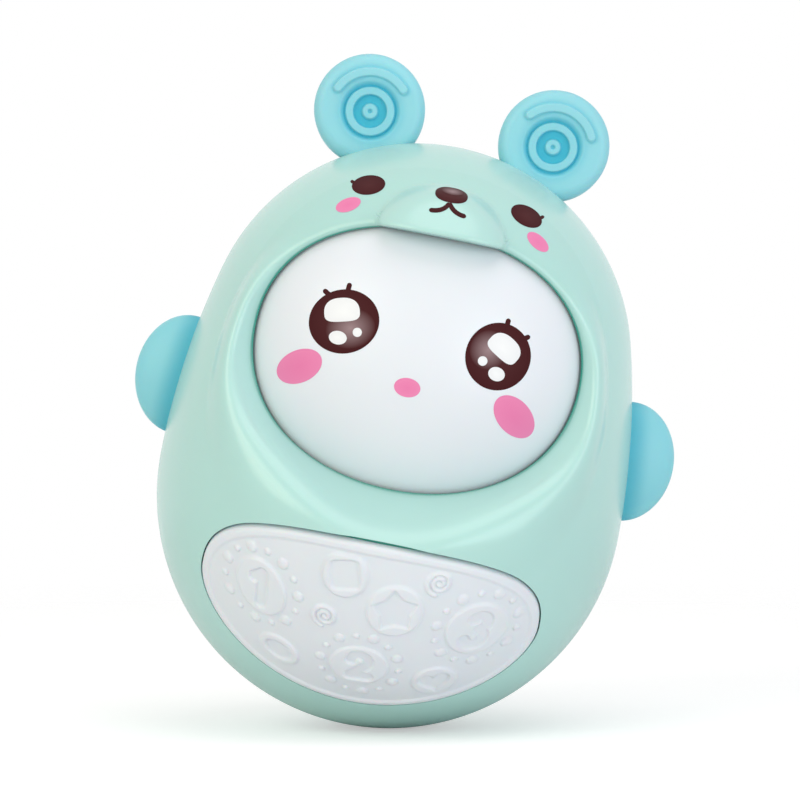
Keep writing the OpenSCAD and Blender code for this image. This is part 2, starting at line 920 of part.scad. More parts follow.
module chime_nuts() {
    color(steel) for (side = [-1, 1])
        translate([side * bar_x, hammer_y, chime_z + chime_t]) difference() {
            cylinder(d = nut_d, h = nut_t, $fn = 6);
            translate([0, 0, -1]) cylinder(d = spigot_d + 2 * running, h = nut_t + 2);
        }
}

module hammer_pin() {
    half = eye_w / 2 + side_play + lug_t;
    color(steel) translate([0, hammer_y, hammer_z]) rod_y(hammer_pin_d, -half, half);
}

module chime_hammer() {
    color(steel) translate([0, hammer_y, hammer_z]) difference() {
        union() {
            rod_y(eye_d, -eye_w / 2, eye_w / 2);
            translate([0, 0, -hammer_len]) {
                cylinder(d = hammer_pin_d, h = hammer_len);
                sphere(d = ball_d);
            }
        }
        rod_y(hammer_pin_d + 2 * running, -eye_w, eye_w);
    }
}

front_shell();
rear_shell();
shell_screws();
ear_left();
ear_right();
arm_left();
arm_right();
belly_panel();
base_weight();
weight_clamp();
weight_screws();
pivot_bracket_left();
pivot_bracket_right();
bracket_screws();
chime_bracket();
chime_bracket_screws();
chime_bars();
chime_nuts();
hammer_pin();
chime_hammer();
nod_cradle();
nod_axle();
nod_weight();
nod_weight_screws();
sway_pin();
pin_clip();
face_dome();
face_frame();
chin_weight();
face_screws();
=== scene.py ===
"""Looks of the roly poly toy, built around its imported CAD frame.

Shapes are worked out in millimetres in the part's frame and scaled to metres when a mesh is made.
+Z is up and the face looks along -Y. C is the middle of the round top, about which the face turns.
"""

import json
import math

import bmesh
import bpy
import numpy as np
from mathutils import Matrix, Vector
from mathutils.bvhtree import BVHTree


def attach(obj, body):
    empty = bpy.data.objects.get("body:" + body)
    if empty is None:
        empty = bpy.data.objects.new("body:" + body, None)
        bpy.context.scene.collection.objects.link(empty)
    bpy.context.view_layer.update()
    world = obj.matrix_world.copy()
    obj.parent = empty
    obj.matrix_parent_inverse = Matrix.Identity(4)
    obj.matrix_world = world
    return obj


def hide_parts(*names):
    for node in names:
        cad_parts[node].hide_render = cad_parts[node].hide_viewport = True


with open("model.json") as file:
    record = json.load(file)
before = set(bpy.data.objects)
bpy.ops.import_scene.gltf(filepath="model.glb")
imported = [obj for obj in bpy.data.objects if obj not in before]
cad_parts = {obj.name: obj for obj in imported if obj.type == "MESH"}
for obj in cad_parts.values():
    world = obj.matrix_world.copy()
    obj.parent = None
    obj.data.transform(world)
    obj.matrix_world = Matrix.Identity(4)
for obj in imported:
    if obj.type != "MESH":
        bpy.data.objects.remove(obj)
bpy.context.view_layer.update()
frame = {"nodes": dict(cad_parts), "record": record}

MM = 0.001
TINY = 1e-9
SMOOTH_ANGLE = 35
PANEL_SMOOTH = 60
SOFT_SMOOTH = 70

# Body outline, as in the part
BASE_R = 74.0
TOP_R = 68.3
BODY_H = 186.5
SIDE_R = 242.5
WALL = 2.2
FOOT_D = 12.0
BASE_Z = math.sqrt(BASE_R**2 - (FOOT_D / 2) ** 2)
TOP_Z = BODY_H - TOP_R
SIDE_Z = ((SIDE_R - BASE_R) ** 2 - (SIDE_R - TOP_R) ** 2 + TOP_Z**2 - BASE_Z**2) / (2 * (TOP_Z - BASE_Z))
SIDE_C = math.sqrt((SIDE_R - BASE_R) ** 2 - (SIDE_Z - BASE_Z) ** 2)
BASE_LEAN = math.atan2(BASE_Z - SIDE_Z, SIDE_C)
TOP_LEAN = math.atan2(TOP_Z - SIDE_Z, SIDE_C)
C = np.array([0.0, 0.0, TOP_Z])
BASE_C = np.array([0.0, 0.0, BASE_Z])
SEAM_CHAMFER = 0.3

# Face dome and the window round it; a flare is what half the window gains for each millimetre of depth,
# and the pinch is the share of it that the lower corners lose
DOME_R = 64.8
DOME_WALL = 2.0
DOME_ANGLE = math.radians(54)
RIM_R = 65.8
RIM_CLEAR = 0.05
RIM_DEPTHS = (30.0, RIM_R + 1)
WINDOW_HALF_W = 49.4
WINDOW_ABOVE = 37.6
WINDOW_BELOW = 40.6
WINDOW_POWER = 2.2
FLARE_SIDE = 1.1
FLARE_ABOVE = 0.4
FLARE_BELOW = 0.6
FLARE_PINCH = 0.5
COLLAR_ANGLE = math.radians(3.0)
COLLAR_MARGIN = math.radians(0.8)

# Rolled edge of the window: height, place outside the rim, reach inwards and outwards, share left below,
# and the sines of the turns over which it fades above
RIDGE_H = 3.0
RIDGE_AT = 1.0
RIDGE_IN = 8.0
RIDGE_OUT = 11.0
RIDGE_BELOW = 0.25
RIDGE_FADE = (0.1, 0.65)

# Muzzle: height of its lip over C, from which sine of the turn the lip bounds the window, lift of its
# middle, size, how full it is at the side and on top, and over what share of the front it sets in
MUZZLE_RISE = 36.2
MUZZLE_FROM = 0.2
MUZZLE_LIFT = math.radians(31)
MUZZLE_H = 6.0
MUZZLE_HALF_W = 19.6
MUZZLE_HALF_H = 25.0
MUZZLE_FULL = 3.0
MUZZLE_SIDE = 0.6
MUZZLE_FADE = 1.8
MUZZLE_FRONT = 0.3

# How far the roundings run from the crest of the window, into it and out over the body, with the most of
# the window's wall that they take, the depth that holds every crest, and how far out a lip stands
CREST_IN_SIDE = 4.0
CREST_IN_BELOW = 10.0
CREST_IN_MOST = 0.85
CREST_OUT_SIDE = 9.0
CREST_OUT_BELOW = 4.5
CREST_FAR = BASE_R + 20
LIP_IN = 1.6
LIP_OUT = 2.6
LIP_STAND = (0.8, 4.0)

# Sines of the turns below the face over which the lower roundings, and those next to the panel, set in
LOW_TURNS = (0.15, 0.95)
PANEL_TURNS = (0.72, 0.98)

# Soft parts
EAR_R = 17.68
EAR_T = 12.0
EAR_EDGE = 3.5
EAR_ANGLE = math.radians(21.8)
EAR_LIFT = 12.2
RIB_R = 12.5
RIB_W = 3.0
RIB_H = 1.1
RIB_SPAN = math.radians(112)
RIB_TURN = math.radians(9)
ARM_Z = 98.8
ARM_H = 38.2
ARM_OUT = 14.4
ARM_SINK = 1.0
ARM_T = 17.0
ARM_SQUARE = 0.86
SOFT_SINK = 1.0

# Belly panel, in a frame whose Z leaves the middle of the base through the panel
BELLY_HALF_W = 52.0
BELLY_ABOVE = 30.6
BELLY_BELOW = 29.4
BELLY_POWER_ABOVE = 2.3
BELLY_POWER_BELOW = 1.9
BELLY_TILT = math.radians(35)
BELLY_FLOOR_R = BASE_R - 2.0
BELLY_TOP_R = BASE_R + 0.5
BELLY_FIELD_R = BASE_R - 0.1
BELLY_BACK_R = BELLY_FLOOR_R + 0.15
BELLY_MOUTH_R = BASE_R + 0.1
BELLY_LID = BASE_R + 8
BELLY_GAP = 0.3
BELLY_GAP_ABOVE = 1.1
BELLY_CHAMFER = 0.5

# Camera, in the photograph's frame: the toy leans clockwise by ROLL
ROLL = math.radians(11.13)
CAM_DISTANCE = 950.0
CAM_X = -2.55
CAM_Z = 104.1
FRAME_WIDTH = 255.2
SENSOR = 36.0
PHOTO_PX = 800
MM_PER_PX = FRAME_WIDTH / PHOTO_PX
CAM_AT = np.array([CAM_X, -CAM_DISTANCE, CAM_Z])
CAM_RIGHT = np.array([math.cos(ROLL), 0.0, math.sin(ROLL)])
CAM_UP = np.array([-math.sin(ROLL), 0.0, math.cos(ROLL)])


# Numeric helpers


def smoothstep(low, high, value):
    """0 up to low, 1 from high on, and a smooth run between them."""
    t = np.clip((value - low) / (high - low), 0.0, 1.0)
    return t * t * (3 - 2 * t)


def bent(value, power):
    """A power of a value that keeps its sign."""
    return np.sign(value) * np.abs(value) ** power


def between(a, b, share):
    """The value that lies a share of the way from a to b."""
    return a + (b - a) * share


def full_turn(steps):
    """Angles right round, in equal steps."""
    return np.linspace(0, 2 * math.pi, steps, endpoint=False)


def shares(steps):
    """Equal shares of 1, from the first up to the whole."""
    return np.linspace(0, 1, steps + 1)[1:]


def bisect(inside, low, high, steps=44):
    """The value between low and high at which inside(value) turns from true to false, for whole arrays."""
    low = np.array(low, dtype=float)
    high = np.array(high, dtype=float)
    for _ in range(steps):
        middle = (low + high) / 2
        ok = inside(middle)
        low = np.where(ok, middle, low)
        high = np.where(ok, high, middle)
    return (low + high) / 2


def body_radius(z, inset=0.0):
    """Radius of the body at a height, drawn smaller by an inset."""
    base_r, side_r, top_r = BASE_R - inset, SIDE_R - inset, TOP_R - inset
    base = np.sqrt(np.maximum(base_r**2 - (z - BASE_Z) ** 2, 0))
    side = np.sqrt(np.maximum(side_r**2 - (z - SIDE_Z) ** 2, 0)) - SIDE_C
    top = np.sqrt(np.maximum(top_r**2 - (z - TOP_Z) ** 2, 0))
    low = z < BASE_Z + base_r * math.sin(BASE_LEAN)
    high = z > TOP_Z + top_r * math.sin(TOP_LEAN)
    radius = np.where(low, base, np.where(high, top, side))
    return np.where(z < inset, 0.0, radius)


def direction(theta, phi):
    """Unit vectors at an angle theta from -Y, turned by phi from +X towards +Z."""
    return np.stack([np.sin(theta) * np.cos(phi), -np.cos(theta), np.sin(theta) * np.sin(phi)], axis=-1)


def body_reach(d, inset=0.0):
    """Distance from C to the body's surface along unit vectors d."""

    def inside(rho):
        p = C + rho[..., None] * d
        return np.hypot(p[..., 0], p[..., 1]) < body_radius(p[..., 2], inset)

    shape = d.shape[:-1]
    return bisect(inside, np.zeros(shape), np.full(shape, 2 * BODY_H))


def oval_radius(phi, half_w, half_above, half_below, power):
    """Radius of an oval at a turn phi, with its own half height above and below."""
    half_h = np.where(np.sin(phi) > 0, half_above, half_below)
    terms = (np.abs(np.cos(phi)) / half_w) ** power + (np.abs(np.sin(phi)) / half_h) ** power
    return terms ** (-1 / power)


def window_radius(phi, depth):
    """Radius of the flared window at a depth in front of C."""

    def half(size, flare):
        return size + (depth - math.sqrt(DOME_R**2 - size**2)) * flare

    half_w = half(WINDOW_HALF_W, FLARE_SIDE)
    above = half(WINDOW_ABOVE, FLARE_ABOVE)
    below = half(WINDOW_BELOW, FLARE_BELOW)
    flared = oval_radius(phi, half_w, above, below, WINDOW_POWER)
    straight = oval_radius(phi, WINDOW_HALF_W, WINDOW_ABOVE, WINDOW_BELOW, WINDOW_POWER)
    corner = np.where(np.sin(phi) < 0, np.sin(2 * phi) ** 2, 0.0)
    pinched = between(straight, flared, 1 - FLARE_PINCH * corner)
    up = np.maximum(np.sin(phi), MUZZLE_FROM)
    under_muzzle = np.where(np.sin(phi) > MUZZLE_FROM, MUZZLE_RISE / up, np.inf)
    return np.minimum(pinched, under_muzzle)


def rim_depth_at(phi):
    """Depth at which the window meets the rim round the dome."""

    def in_rim(depth):
        return np.hypot(window_radius(phi, depth), depth) < RIM_R

    low, high = RIM_DEPTHS
    return bisect(in_rim, np.full(phi.shape, low), np.full(phi.shape, high))


def low_share(phi):
    """How far a turn about the axis of the face lies below the face, from 0 to 1."""
    return smoothstep(*LOW_TURNS, -np.sin(phi))


def muzzle_rise(d):
    """How far the muzzle stands out from the head along unit vectors d."""
    arc_up = TOP_R * (np.arcsin(np.clip(d[..., 2], -1, 1)) - MUZZLE_LIFT)
    across = TOP_R * d[..., 0]
    q = np.clip(np.hypot(across / MUZZLE_HALF_W, np.maximum(arc_up, 0) / MUZZLE_HALF_H), 0, 1)
    soft = smoothstep(0.0, 1.0, arc_up / MUZZLE_HALF_H)
    rise = MUZZLE_H * (1 - q**MUZZLE_FULL) ** between(MUZZLE_SIDE, MUZZLE_FADE, soft)
    return rise * smoothstep(-MUZZLE_HALF_H, -MUZZLE_HALF_H / 2, arc_up)


def ridge_rise(theta, phi):
    """How far the rolled edge of the window stands out from the head."""
    depth = rim_depth_at(phi)
    rim_theta = np.arctan2(window_radius(phi, depth), depth)
    off = TOP_R * (theta - rim_theta) - RIDGE_AT
    u = np.clip(np.where(off > 0, off / RIDGE_OUT, off / RIDGE_IN), -1, 1)
    above = smoothstep(*RIDGE_FADE, np.sin(phi))
    return RIDGE_H * (1 - u**2) ** 2 * between(1, RIDGE_BELOW, low_share(phi)) * (1 - above)


def head_reach(theta, phi):
    """Distance from C to the front shell's outer surface, with the muzzle and the window's rolled edge."""
    d = direction(theta, phi)
    muzzle = muzzle_rise(d) * smoothstep(0.0, MUZZLE_FRONT, -d[..., 1])
    return body_reach(d) + muzzle + ridge_rise(theta, phi) * (1 - smoothstep(0.0, RIDGE_H, muzzle))


# Mesh helpers


def mesh_object(name, points, faces, smooth_angle=SMOOTH_ANGLE):
    """An object from points in millimetres."""
    mesh = bpy.data.meshes.new(name)
    mesh.from_pydata((np.asarray(points) * MM).tolist(), [], faces)
    mesh.update()
    mesh.shade_smooth()
    mesh.set_sharp_from_angle(angle=math.radians(smooth_angle))
    obj = bpy.data.objects.new(name, mesh)
    bpy.context.scene.collection.objects.link(obj)
    return obj


def mark(obj, name, values):
    """Gives each point of a mesh a value that its material can read."""
    attribute = obj.data.attributes.new(name, "FLOAT", "POINT")
    attribute.data.foreach_set("value", np.asarray(values, dtype=np.float32))


def grid_faces(rows, cols, close_rows=False, close_cols=True):
    """Quads over a grid of points numbered row by row."""
    faces = []
    for i in range(rows if close_rows else rows - 1):
        k = (i + 1) % rows
        for j in range(cols if close_cols else cols - 1):
            m = (j + 1) % cols
            faces.append((i * cols + j, i * cols + m, k * cols + m, k * cols + j))
    return faces


def disc_faces(rings, cols):
    """Faces of a disc: the middle point first, then rings of points round it."""
    faces = [(0, 1 + j, 1 + (j + 1) % cols) for j in range(cols)]
    for i in range(rings - 1):
        for j in range(cols):
            m = (j + 1) % cols
            a = 1 + i * cols
            faces.append((a + j, a + cols + j, a + cols + m, a + m))
    return faces


def closed_faces(rings, cols):
    """Faces of a closed form: a disc whose last ring draws in to one more point."""
    last = 1 + (rings - 1) * cols
    end = last + cols
    return disc_faces(rings, cols) + [(last + j, end, last + (j + 1) % cols) for j in range(cols)]


def out_of_body(points):
    """Points deeper than a little way in the shell's wall move out to that depth."""
    rel = points - C
    rho = np.linalg.norm(rel, axis=-1)
    d = rel / np.maximum(rho, TINY)[..., None]
    least = body_reach(d) - SOFT_SINK
    return C + d * np.maximum(rho, least)[..., None]


def fix_normals(obj):
    """Turns all faces of a closed mesh outwards."""
    bm = bmesh.new()
    bm.from_mesh(obj.data)
    bmesh.ops.recalc_face_normals(bm, faces=bm.faces)
    bm.to_mesh(obj.data)
    bm.free()


def cut(obj, cutter):
    """Takes the cutter's volume out of obj, for good."""
    modifier = obj.modifiers.new("cut", "BOOLEAN")
    modifier.operation = "DIFFERENCE"
    modifier.solver = "EXACT"
    modifier.object = cutter
    graph = bpy.context.evaluated_depsgraph_get()
    mesh = bpy.data.meshes.new_from_object(obj.evaluated_get(graph))
    obj.modifiers.clear()
    obj.data = mesh
    mesh.shade_smooth()
    mesh.set_sharp_from_angle(angle=math.radians(SMOOTH_ANGLE))
    bpy.data.objects.remove(cutter)


def bvh_of(obj):
    """A tree of a mesh's faces, for casting rays at them."""
    graph = bpy.context.evaluated_depsgraph_get()
    return BVHTree.FromObject(obj, graph)


# Materials

TONE_DETAIL = 3.0
TONE_ENDS = (0.3, 0.7)
GRAIN_DETAIL = 2.0
GRAIN_DEPTH = 0.0002
INK_ROUGHNESS = 0.45
INK_SPECULAR = 0.06


def new_material(name):
    """A new material with its nodes, its links and its shader."""
    m = bpy.data.materials.new(name)
    m.use_nodes = True
    nodes = m.node_tree.nodes
    return m, nodes, m.node_tree.links, nodes["Principled BSDF"]


def material(name, colour, roughness, grain, tone, grain_scale=900.0, tone_scale=18.0, **sockets):
    """A material whose colour drifts a little and whose surface has a fine grain."""
    m, nodes, links, shader = new_material(name)
    shader.inputs["Roughness"].default_value = roughness
    for key, value in sockets.items():
        shader.inputs[key.replace("_", " ")].default_value = value
    where = nodes.new("ShaderNodeTexCoord")
    drift = nodes.new("ShaderNodeTexNoise")
    drift.inputs["Scale"].default_value = tone_scale
    drift.inputs["Detail"].default_value = TONE_DETAIL
    links.new(where.outputs["Object"], drift.inputs["Vector"])
    ramp = nodes.new("ShaderNodeValToRGB")
    for element, factor, end in zip(ramp.color_ramp.elements, (1 - tone, 1 + tone), TONE_ENDS):
        element.color = [min(c * factor, 1.0) for c in colour] + [1.0]
        element.position = end
    links.new(drift.outputs["Fac"], ramp.inputs["Fac"])
    links.new(ramp.outputs["Color"], shader.inputs["Base Color"])
    fine = nodes.new("ShaderNodeTexNoise")
    fine.inputs["Scale"].default_value = grain_scale
    fine.inputs["Detail"].default_value = GRAIN_DETAIL
    links.new(where.outputs["Object"], fine.inputs["Vector"])
    bump = nodes.new("ShaderNodeBump")
    bump.inputs["Strength"].default_value = grain
    bump.inputs["Distance"].default_value = GRAIN_DEPTH
    links.new(fine.outputs["Fac"], bump.inputs["Height"])
    links.new(bump.outputs["Normal"], shader.inputs["Normal"])
    return m


def paint_shade(m, colour):
    """Paints shade: runs a material's colour to a deeper one by a mesh's sunk values, which say how much
    shade is painted.
    """
    nodes = m.node_tree.nodes
    links = m.node_tree.links
    shader = nodes["Principled BSDF"]
    source = shader.inputs["Base Color"].links[0].from_socket
    sunk = nodes.new("ShaderNodeAttribute")
    sunk.attribute_name = "sunk"
    mix = nodes.new("ShaderNodeMix")
    mix.data_type = "RGBA"
    mix.inputs["B"].default_value = list(colour) + [1.0]
    links.new(sunk.outputs["Fac"], mix.inputs["Factor"])
    links.new(source, mix.inputs["A"])
    links.new(mix.outputs["Result"], shader.inputs["Base Color"])


def ink(name, middle, edge):
    """Printed ink that runs from one colour in the middle of a print to another at its edge."""
    m, nodes, links, shader = new_material(name)
    shader.inputs["Roughness"].default_value = INK_ROUGHNESS
    shader.inputs["Specular IOR Level"].default_value = INK_SPECULAR
    run = nodes.new("ShaderNodeAttribute")
    run.attribute_name = "run"
    ramp = nodes.new("ShaderNodeValToRGB")
    for element, colour in zip(ramp.color_ramp.elements, (middle, edge)):
        element.color = list(colour) + [1.0]
    links.new(run.outputs["Fac"], ramp.inputs["Fac"])
    links.new(ramp.outputs["Color"], shader.inputs["Base Color"])
    return m


def milky(weight, depth):
    """Sockets of a plastic that light enters a little way."""
    return {"Subsurface_Weight": weight, "Subsurface_Scale": depth}


SOFT = {"roughness": 0.5, "grain": 0.08, "tone": 0.03, **milky(0.2, 0.004)}
WHITE = material("face_white", (0.78, 0.80, 0.86), 0.34, grain=0.04, tone=0.01, **milky(0.1, 0.003))
MINT = material("mint_satin", (0.445, 0.705, 0.67), 0.25, grain=0.03, tone=0.015, **milky(0.06, 0.004))
# Painted shade for the shell: dark green in the gap round the dome and in the panel's recess
paint_shade(MINT, (0.025, 0.30, 0.23))
MILKY = material("panel_milky", (0.74, 0.77, 0.83), 0.42, grain=0.05, tone=0.015, **milky(0.25, 0.002))
EAR_SOFT = material("ear_soft", (0.275, 0.64, 0.73), **SOFT)
# Painted shade for the ears: deeper colour down in the dish, beside the rib and round the dish
paint_shade(EAR_SOFT, (0.035, 0.46, 0.62))
TURQUOISE = material("turquoise_soft", (0.25, 0.64, 0.73), **SOFT)
# Painted shade for the arms: deeper colour next to the body
paint_shade(TURQUOISE, (0.035, 0.43, 0.58))
GREY = material("inner_plastic", (0.30, 0.33, 0.35), 0.5, grain=0.1, tone=0.06)
IRON = material("iron_cast", (0.06, 0.06, 0.065), 0.62, grain=0.5, tone=0.2, grain_scale=500.0, Metallic=1.0)
STEEL = material("steel_plated", (0.55, 0.56, 0.58), 0.3, grain=0.08, tone=0.06, Metallic=1.0)
BROWN = ink("print_brown", (0.075, 0.018, 0.020), (0.055, 0.009, 0.011))
LINE = ink("print_line", (0.055, 0.010, 0.012), (0.050, 0.009, 0.011))
# Lighter brown ink: the glow printed in the doll's eyes, and a painted highlight on the bear's nose
GLOW_AND_HIGHLIGHT = ink("print_glow_and_highlight", (0.330, 0.225, 0.240), (0.066, 0.014, 0.016))
PINK = ink("print_pink", (0.82, 0.215, 0.43), (0.84, 0.245, 0.46))
GLINT = ink("print_white", (0.90, 0.90, 0.92), (0.84, 0.84, 0.87))


def dress(obj, mat, body, node=None):
    """Gives a piece its material, hides the CAD node that it stands for and parents it to the body that it
    rides on.
    """
    obj.data.materials.clear()
    obj.data.materials.append(mat)
    if node:
        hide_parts(node)
    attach(obj, body)


# Front shell

AZIMUTHS = 540
FUNNEL_STEPS = 10
CREST_STEPS = 18
BODY_STEPS = 84
INNER_STEPS = 26
COLLAR_STEPS = 4
COLLAR_INNER = (0.34, 0.67)
TANGENT_STEP = 0.002
KNEE_LEAST = 0.4
KNEE_MOST = 1.6


def front_shell():
    """One closed profile for each turn about the axis of the face, swept right round."""
    phi = full_turn(AZIMUTHS)
    turn = np.stack([np.cos(phi), np.zeros_like(phi), np.sin(phi)], axis=-1)
    out = np.array([0.0, -1.0, 0.0])

    def funnel(depth):
        return C + window_radius(phi, depth)[:, None] * turn + depth[:, None] * out

    def on_head(theta):
        return C + head_reach(theta, phi)[:, None] * direction(theta, phi)

    def in_head(depth):
        r = window_radius(phi, depth)
        return np.hypot(r, depth) < head_reach(np.arctan2(r, depth), phi)

    def cross(u, v):
        return np.sum(u * turn, axis=-1) * (v @ out) - (u @ out) * np.sum(v * turn, axis=-1)

    rim_depth = rim_depth_at(phi)
    crest_depth = bisect(in_head, rim_depth, np.full(AZIMUTHS, CREST_FAR))
    crest = funnel(crest_depth)
    length = np.linalg.norm(crest - funnel(rim_depth), axis=-1)
    crest_theta = np.arctan2(window_radius(phi, crest_depth), crest_depth)
    crest_rho = np.linalg.norm(crest - C, axis=-1)

    lip = smoothstep(*LIP_STAND, crest_rho - body_reach(direction(crest_theta, phi)))
    by_panel = smoothstep(*PANEL_TURNS, -np.sin(phi))
    run_in = between(between(CREST_IN_SIDE, CREST_IN_BELOW, low_share(phi)), LIP_IN, lip)
    run_in = np.minimum(run_in, CREST_IN_MOST * length)
    run_out = between(between(CREST_OUT_SIDE, CREST_OUT_BELOW, by_panel), LIP_OUT, lip)
    turn_depth = between(rim_depth, crest_depth, 1 - run_in / length)
    leave_theta = crest_theta + run_out / crest_rho

    # The window's wall, then a rounding that leaves it and meets the body without a crease
    rows = [funnel(between(rim_depth, turn_depth, s)) for s in np.linspace(0, 1, FUNNEL_STEPS)]
    start = rows[-1]
    leave = on_head(leave_theta)
    ahead = on_head(leave_theta + TANGENT_STEP)
    to_crest = crest - start
    reach = cross(leave - start, ahead - leave) / cross(to_crest, ahead - leave)
    knee = start + np.clip(reach, KNEE_LEAST, KNEE_MOST)[:, None] * to_crest
    rows += [(1 - s) ** 2 * start + 2 * s * (1 - s) * knee + s**2 * leave for s in shares(CREST_STEPS)]

    # The outside as far as the seam
    edge_theta = math.pi / 2 - SEAM_CHAMFER / BASE_R
    rows += [on_head(between(leave_theta, edge_theta, s)) for s in shares(BODY_STEPS)]
    seam_d = direction(np.full(AZIMUTHS, math.pi / 2), phi)
    rows.append(C + (body_reach(seam_d) - SEAM_CHAMFER)[:, None] * seam_d)

    # The inside and the collar, back to the rim
    rim_theta = np.arctan2(window_radius(phi, rim_depth), rim_depth)
    back_theta = np.maximum(rim_theta + COLLAR_ANGLE, leave_theta + COLLAR_MARGIN)
    for s in np.linspace(0, 1, INNER_STEPS + 1):
        d = direction(between(math.pi / 2, back_theta, s), phi)
        rows.append(C + np.maximum(body_reach(d, WALL), RIM_R + RIM_CLEAR)[:, None] * d)
    back_d = direction(back_theta, phi)
    deep = np.linalg.norm(rows[-1] - C, axis=-1)
    rows += [C + between(deep, RIM_R, s)[:, None] * back_d for s in shares(COLLAR_STEPS)]
    rows += [C + RIM_R * direction(between(back_theta, rim_theta, s), phi) for s in COLLAR_INNER]
    faces = grid_faces(len(rows), AZIMUTHS, close_rows=True)
    return mesh_object("front_shell_look", np.concatenate(rows), faces)


# Belly panel and the recess for it

BELLY_X = np.array([1.0, 0.0, 0.0])
BELLY_Y = np.array([0.0, -math.sin(BELLY_TILT), math.cos(BELLY_TILT)])
BELLY_Z = np.array([0.0, -math.cos(BELLY_TILT), -math.sin(BELLY_TILT)])
BELLY_COLS = 480
BELLY_RINGS = 150
BELLY_CROWD = 1.15
BELLY_BACK_RINGS = (0.75, 0.5, 0.25)
BELLY_TURNS = full_turn(BELLY_COLS)
RECESS_RINGS = 40


def belly_outline(growth=0.0, above=0.0):
    """Points of the panel's outline, in its own plane, grown all round and a little more above."""
    c, s = np.cos(BELLY_TURNS), np.sin(BELLY_TURNS)
    power = np.where(s > 0, BELLY_POWER_ABOVE, BELLY_POWER_BELOW)
    half_h = growth + np.where(s > 0, BELLY_ABOVE + above, BELLY_BELOW)
    return np.stack([(BELLY_HALF_W + growth) * bent(c, 2 / power), half_h * bent(s, 2 / power)], axis=-1)


def belly_points(xy, radius):
    """Points of the panel's plane on a sphere about the middle of the base."""
    z = np.sqrt(np.maximum(radius**2 - (xy**2).sum(axis=-1), 0))
    return BASE_C + xy[..., :1] * BELLY_X + xy[..., 1:] * BELLY_Y + z[..., None] * BELLY_Z


def belly_recess():
    """The volume that the panel's recess takes out of the shell, with a chamfer at its mouth."""
    points = [belly_points(np.zeros((1, 2)), BELLY_FLOOR_R)]
    floor_line = belly_outline(BELLY_GAP, BELLY_GAP_ABOVE)
    points += [belly_points(t * floor_line, BELLY_FLOOR_R) for t in shares(RECESS_RINGS)]
    mouth = belly_outline(BELLY_CHAMFER, BELLY_GAP_ABOVE)
    points.append(belly_points(floor_line, BASE_R - BELLY_CHAMFER))
    points.append(belly_points(mouth, BELLY_MOUTH_R))
    points.append(BASE_C + mouth[:, :1] * BELLY_X + mouth[:, 1:] * BELLY_Y + BELLY_LID * BELLY_Z)
    rings = len(points) - 1
    last = 1 + (rings - 1) * BELLY_COLS
    faces = disc_faces(rings, BELLY_COLS) + [tuple(range(last, last + BELLY_COLS))]
    cutter = mesh_object("recess_cutter", np.concatenate(points), faces)
    fix_normals(cutter)
    return cutter


# Painted shade on the shell: a dark line in the gap round the dome, a paler run of shade beside it and the
# recess's floor
GAP_LINE = 1.3
GAP_SHADE = 3.2
GAP_SHADE_LEVEL = 0.3
FACE_REACH = 58.0
RECESS_SHADE = (0.1, 0.8)


def shell_painted_shade(obj):
    """How much shade is painted on each of the shell's points, from 0 to 1: deep in the gap round the dome
    and in the panel's recess.
    """
    points = np.empty(len(obj.data.vertices) * 3)
    obj.data.vertices.foreach_get("co", points)
    points = points.reshape(-1, 3) / MM
    above_rim = np.linalg.norm(points - C, axis=-1) - RIM_R
    line = 1 - smoothstep(GAP_LINE / 3, GAP_LINE, above_rim)
    shade = 1 - smoothstep(0.0, GAP_SHADE, above_rim)
    in_front = np.hypot(points[:, 0], points[:, 2] - C[2]) < FACE_REACH
    by_dome = np.maximum(line, GAP_SHADE_LEVEL * shade) * in_front
    off = points - BASE_C
    x, y = off @ BELLY_X, off @ BELLY_Y
    power = np.where(y > 0, BELLY_POWER_ABOVE, BELLY_POWER_BELOW)
    half_h = np.where(y > 0, BELLY_ABOVE + BELLY_GAP_ABOVE, BELLY_BELOW) + BELLY_CHAMFER
    spread = np.abs(x / (BELLY_HALF_W + BELLY_CHAMFER)) ** power + np.abs(y / half_h) ** power
    by_panel = 1 - smoothstep(*RECESS_SHADE, np.linalg.norm(off, axis=-1) - BELLY_FLOOR_R)
    return np.maximum(by_dome, by_panel * (spread < 1) * (off @ BELLY_Z > 0))


# Lines and outlines in the panel's plane


def place(points, middle, turn=0.0):
    """Points turned anticlockwise by degrees and moved to a middle."""
    a = math.radians(turn)
    x, y = np.asarray(points, dtype=float).T
    spun = np.stack([x * math.cos(a) - y * math.sin(a), x * math.sin(a) + y * math.cos(a)], axis=-1)
    return spun + np.array(middle)


def polar(middle, radius, angle):
    """Points round a middle at radii and angles."""
    return np.stack([middle[0] + radius * np.cos(angle), middle[1] + radius * np.sin(angle)], axis=-1)


def ellipse(middle, half, turn=0.0, steps=56):
    """A closed ellipse."""
    a = np.linspace(0, 2 * math.pi, steps + 1)
    return place(np.stack([half[0] * np.cos(a), half[1] * np.sin(a)], axis=-1), middle, turn)


def square_loop(middle, half, power, turn, steps=60):
    """A closed square with rounded corners."""
    a = np.linspace(0, 2 * math.pi, steps + 1)
    corners = np.stack([bent(np.cos(a), 2 / power), bent(np.sin(a), 2 / power)], axis=-1)
    return place(half * corners, middle, turn)


def arc(middle, radius, start, end, steps=24):
    """Part of a circle between two angles in degrees."""
    return polar(middle, radius, np.radians(np.linspace(start, end, steps)))


def spiral(middle, radius, turns=2.1, start=224, inner=0.12, steps=60):
    """A spiral from an inner share of its radius out to the whole."""
    a = np.linspace(0, 1, steps)
    return polar(middle, radius * between(inner, 1, a), np.radians(start) + a * turns * 2 * math.pi)


def star(middle, outer, inner, turn, tips=5):
    """A closed star, with tips and inner corners by turns."""
    corners = np.arange(2 * tips + 1)
    radius = np.where(corners % 2 == 0, outer, inner)
    return polar(middle, radius, np.radians(90 + turn + 180 / tips * corners))


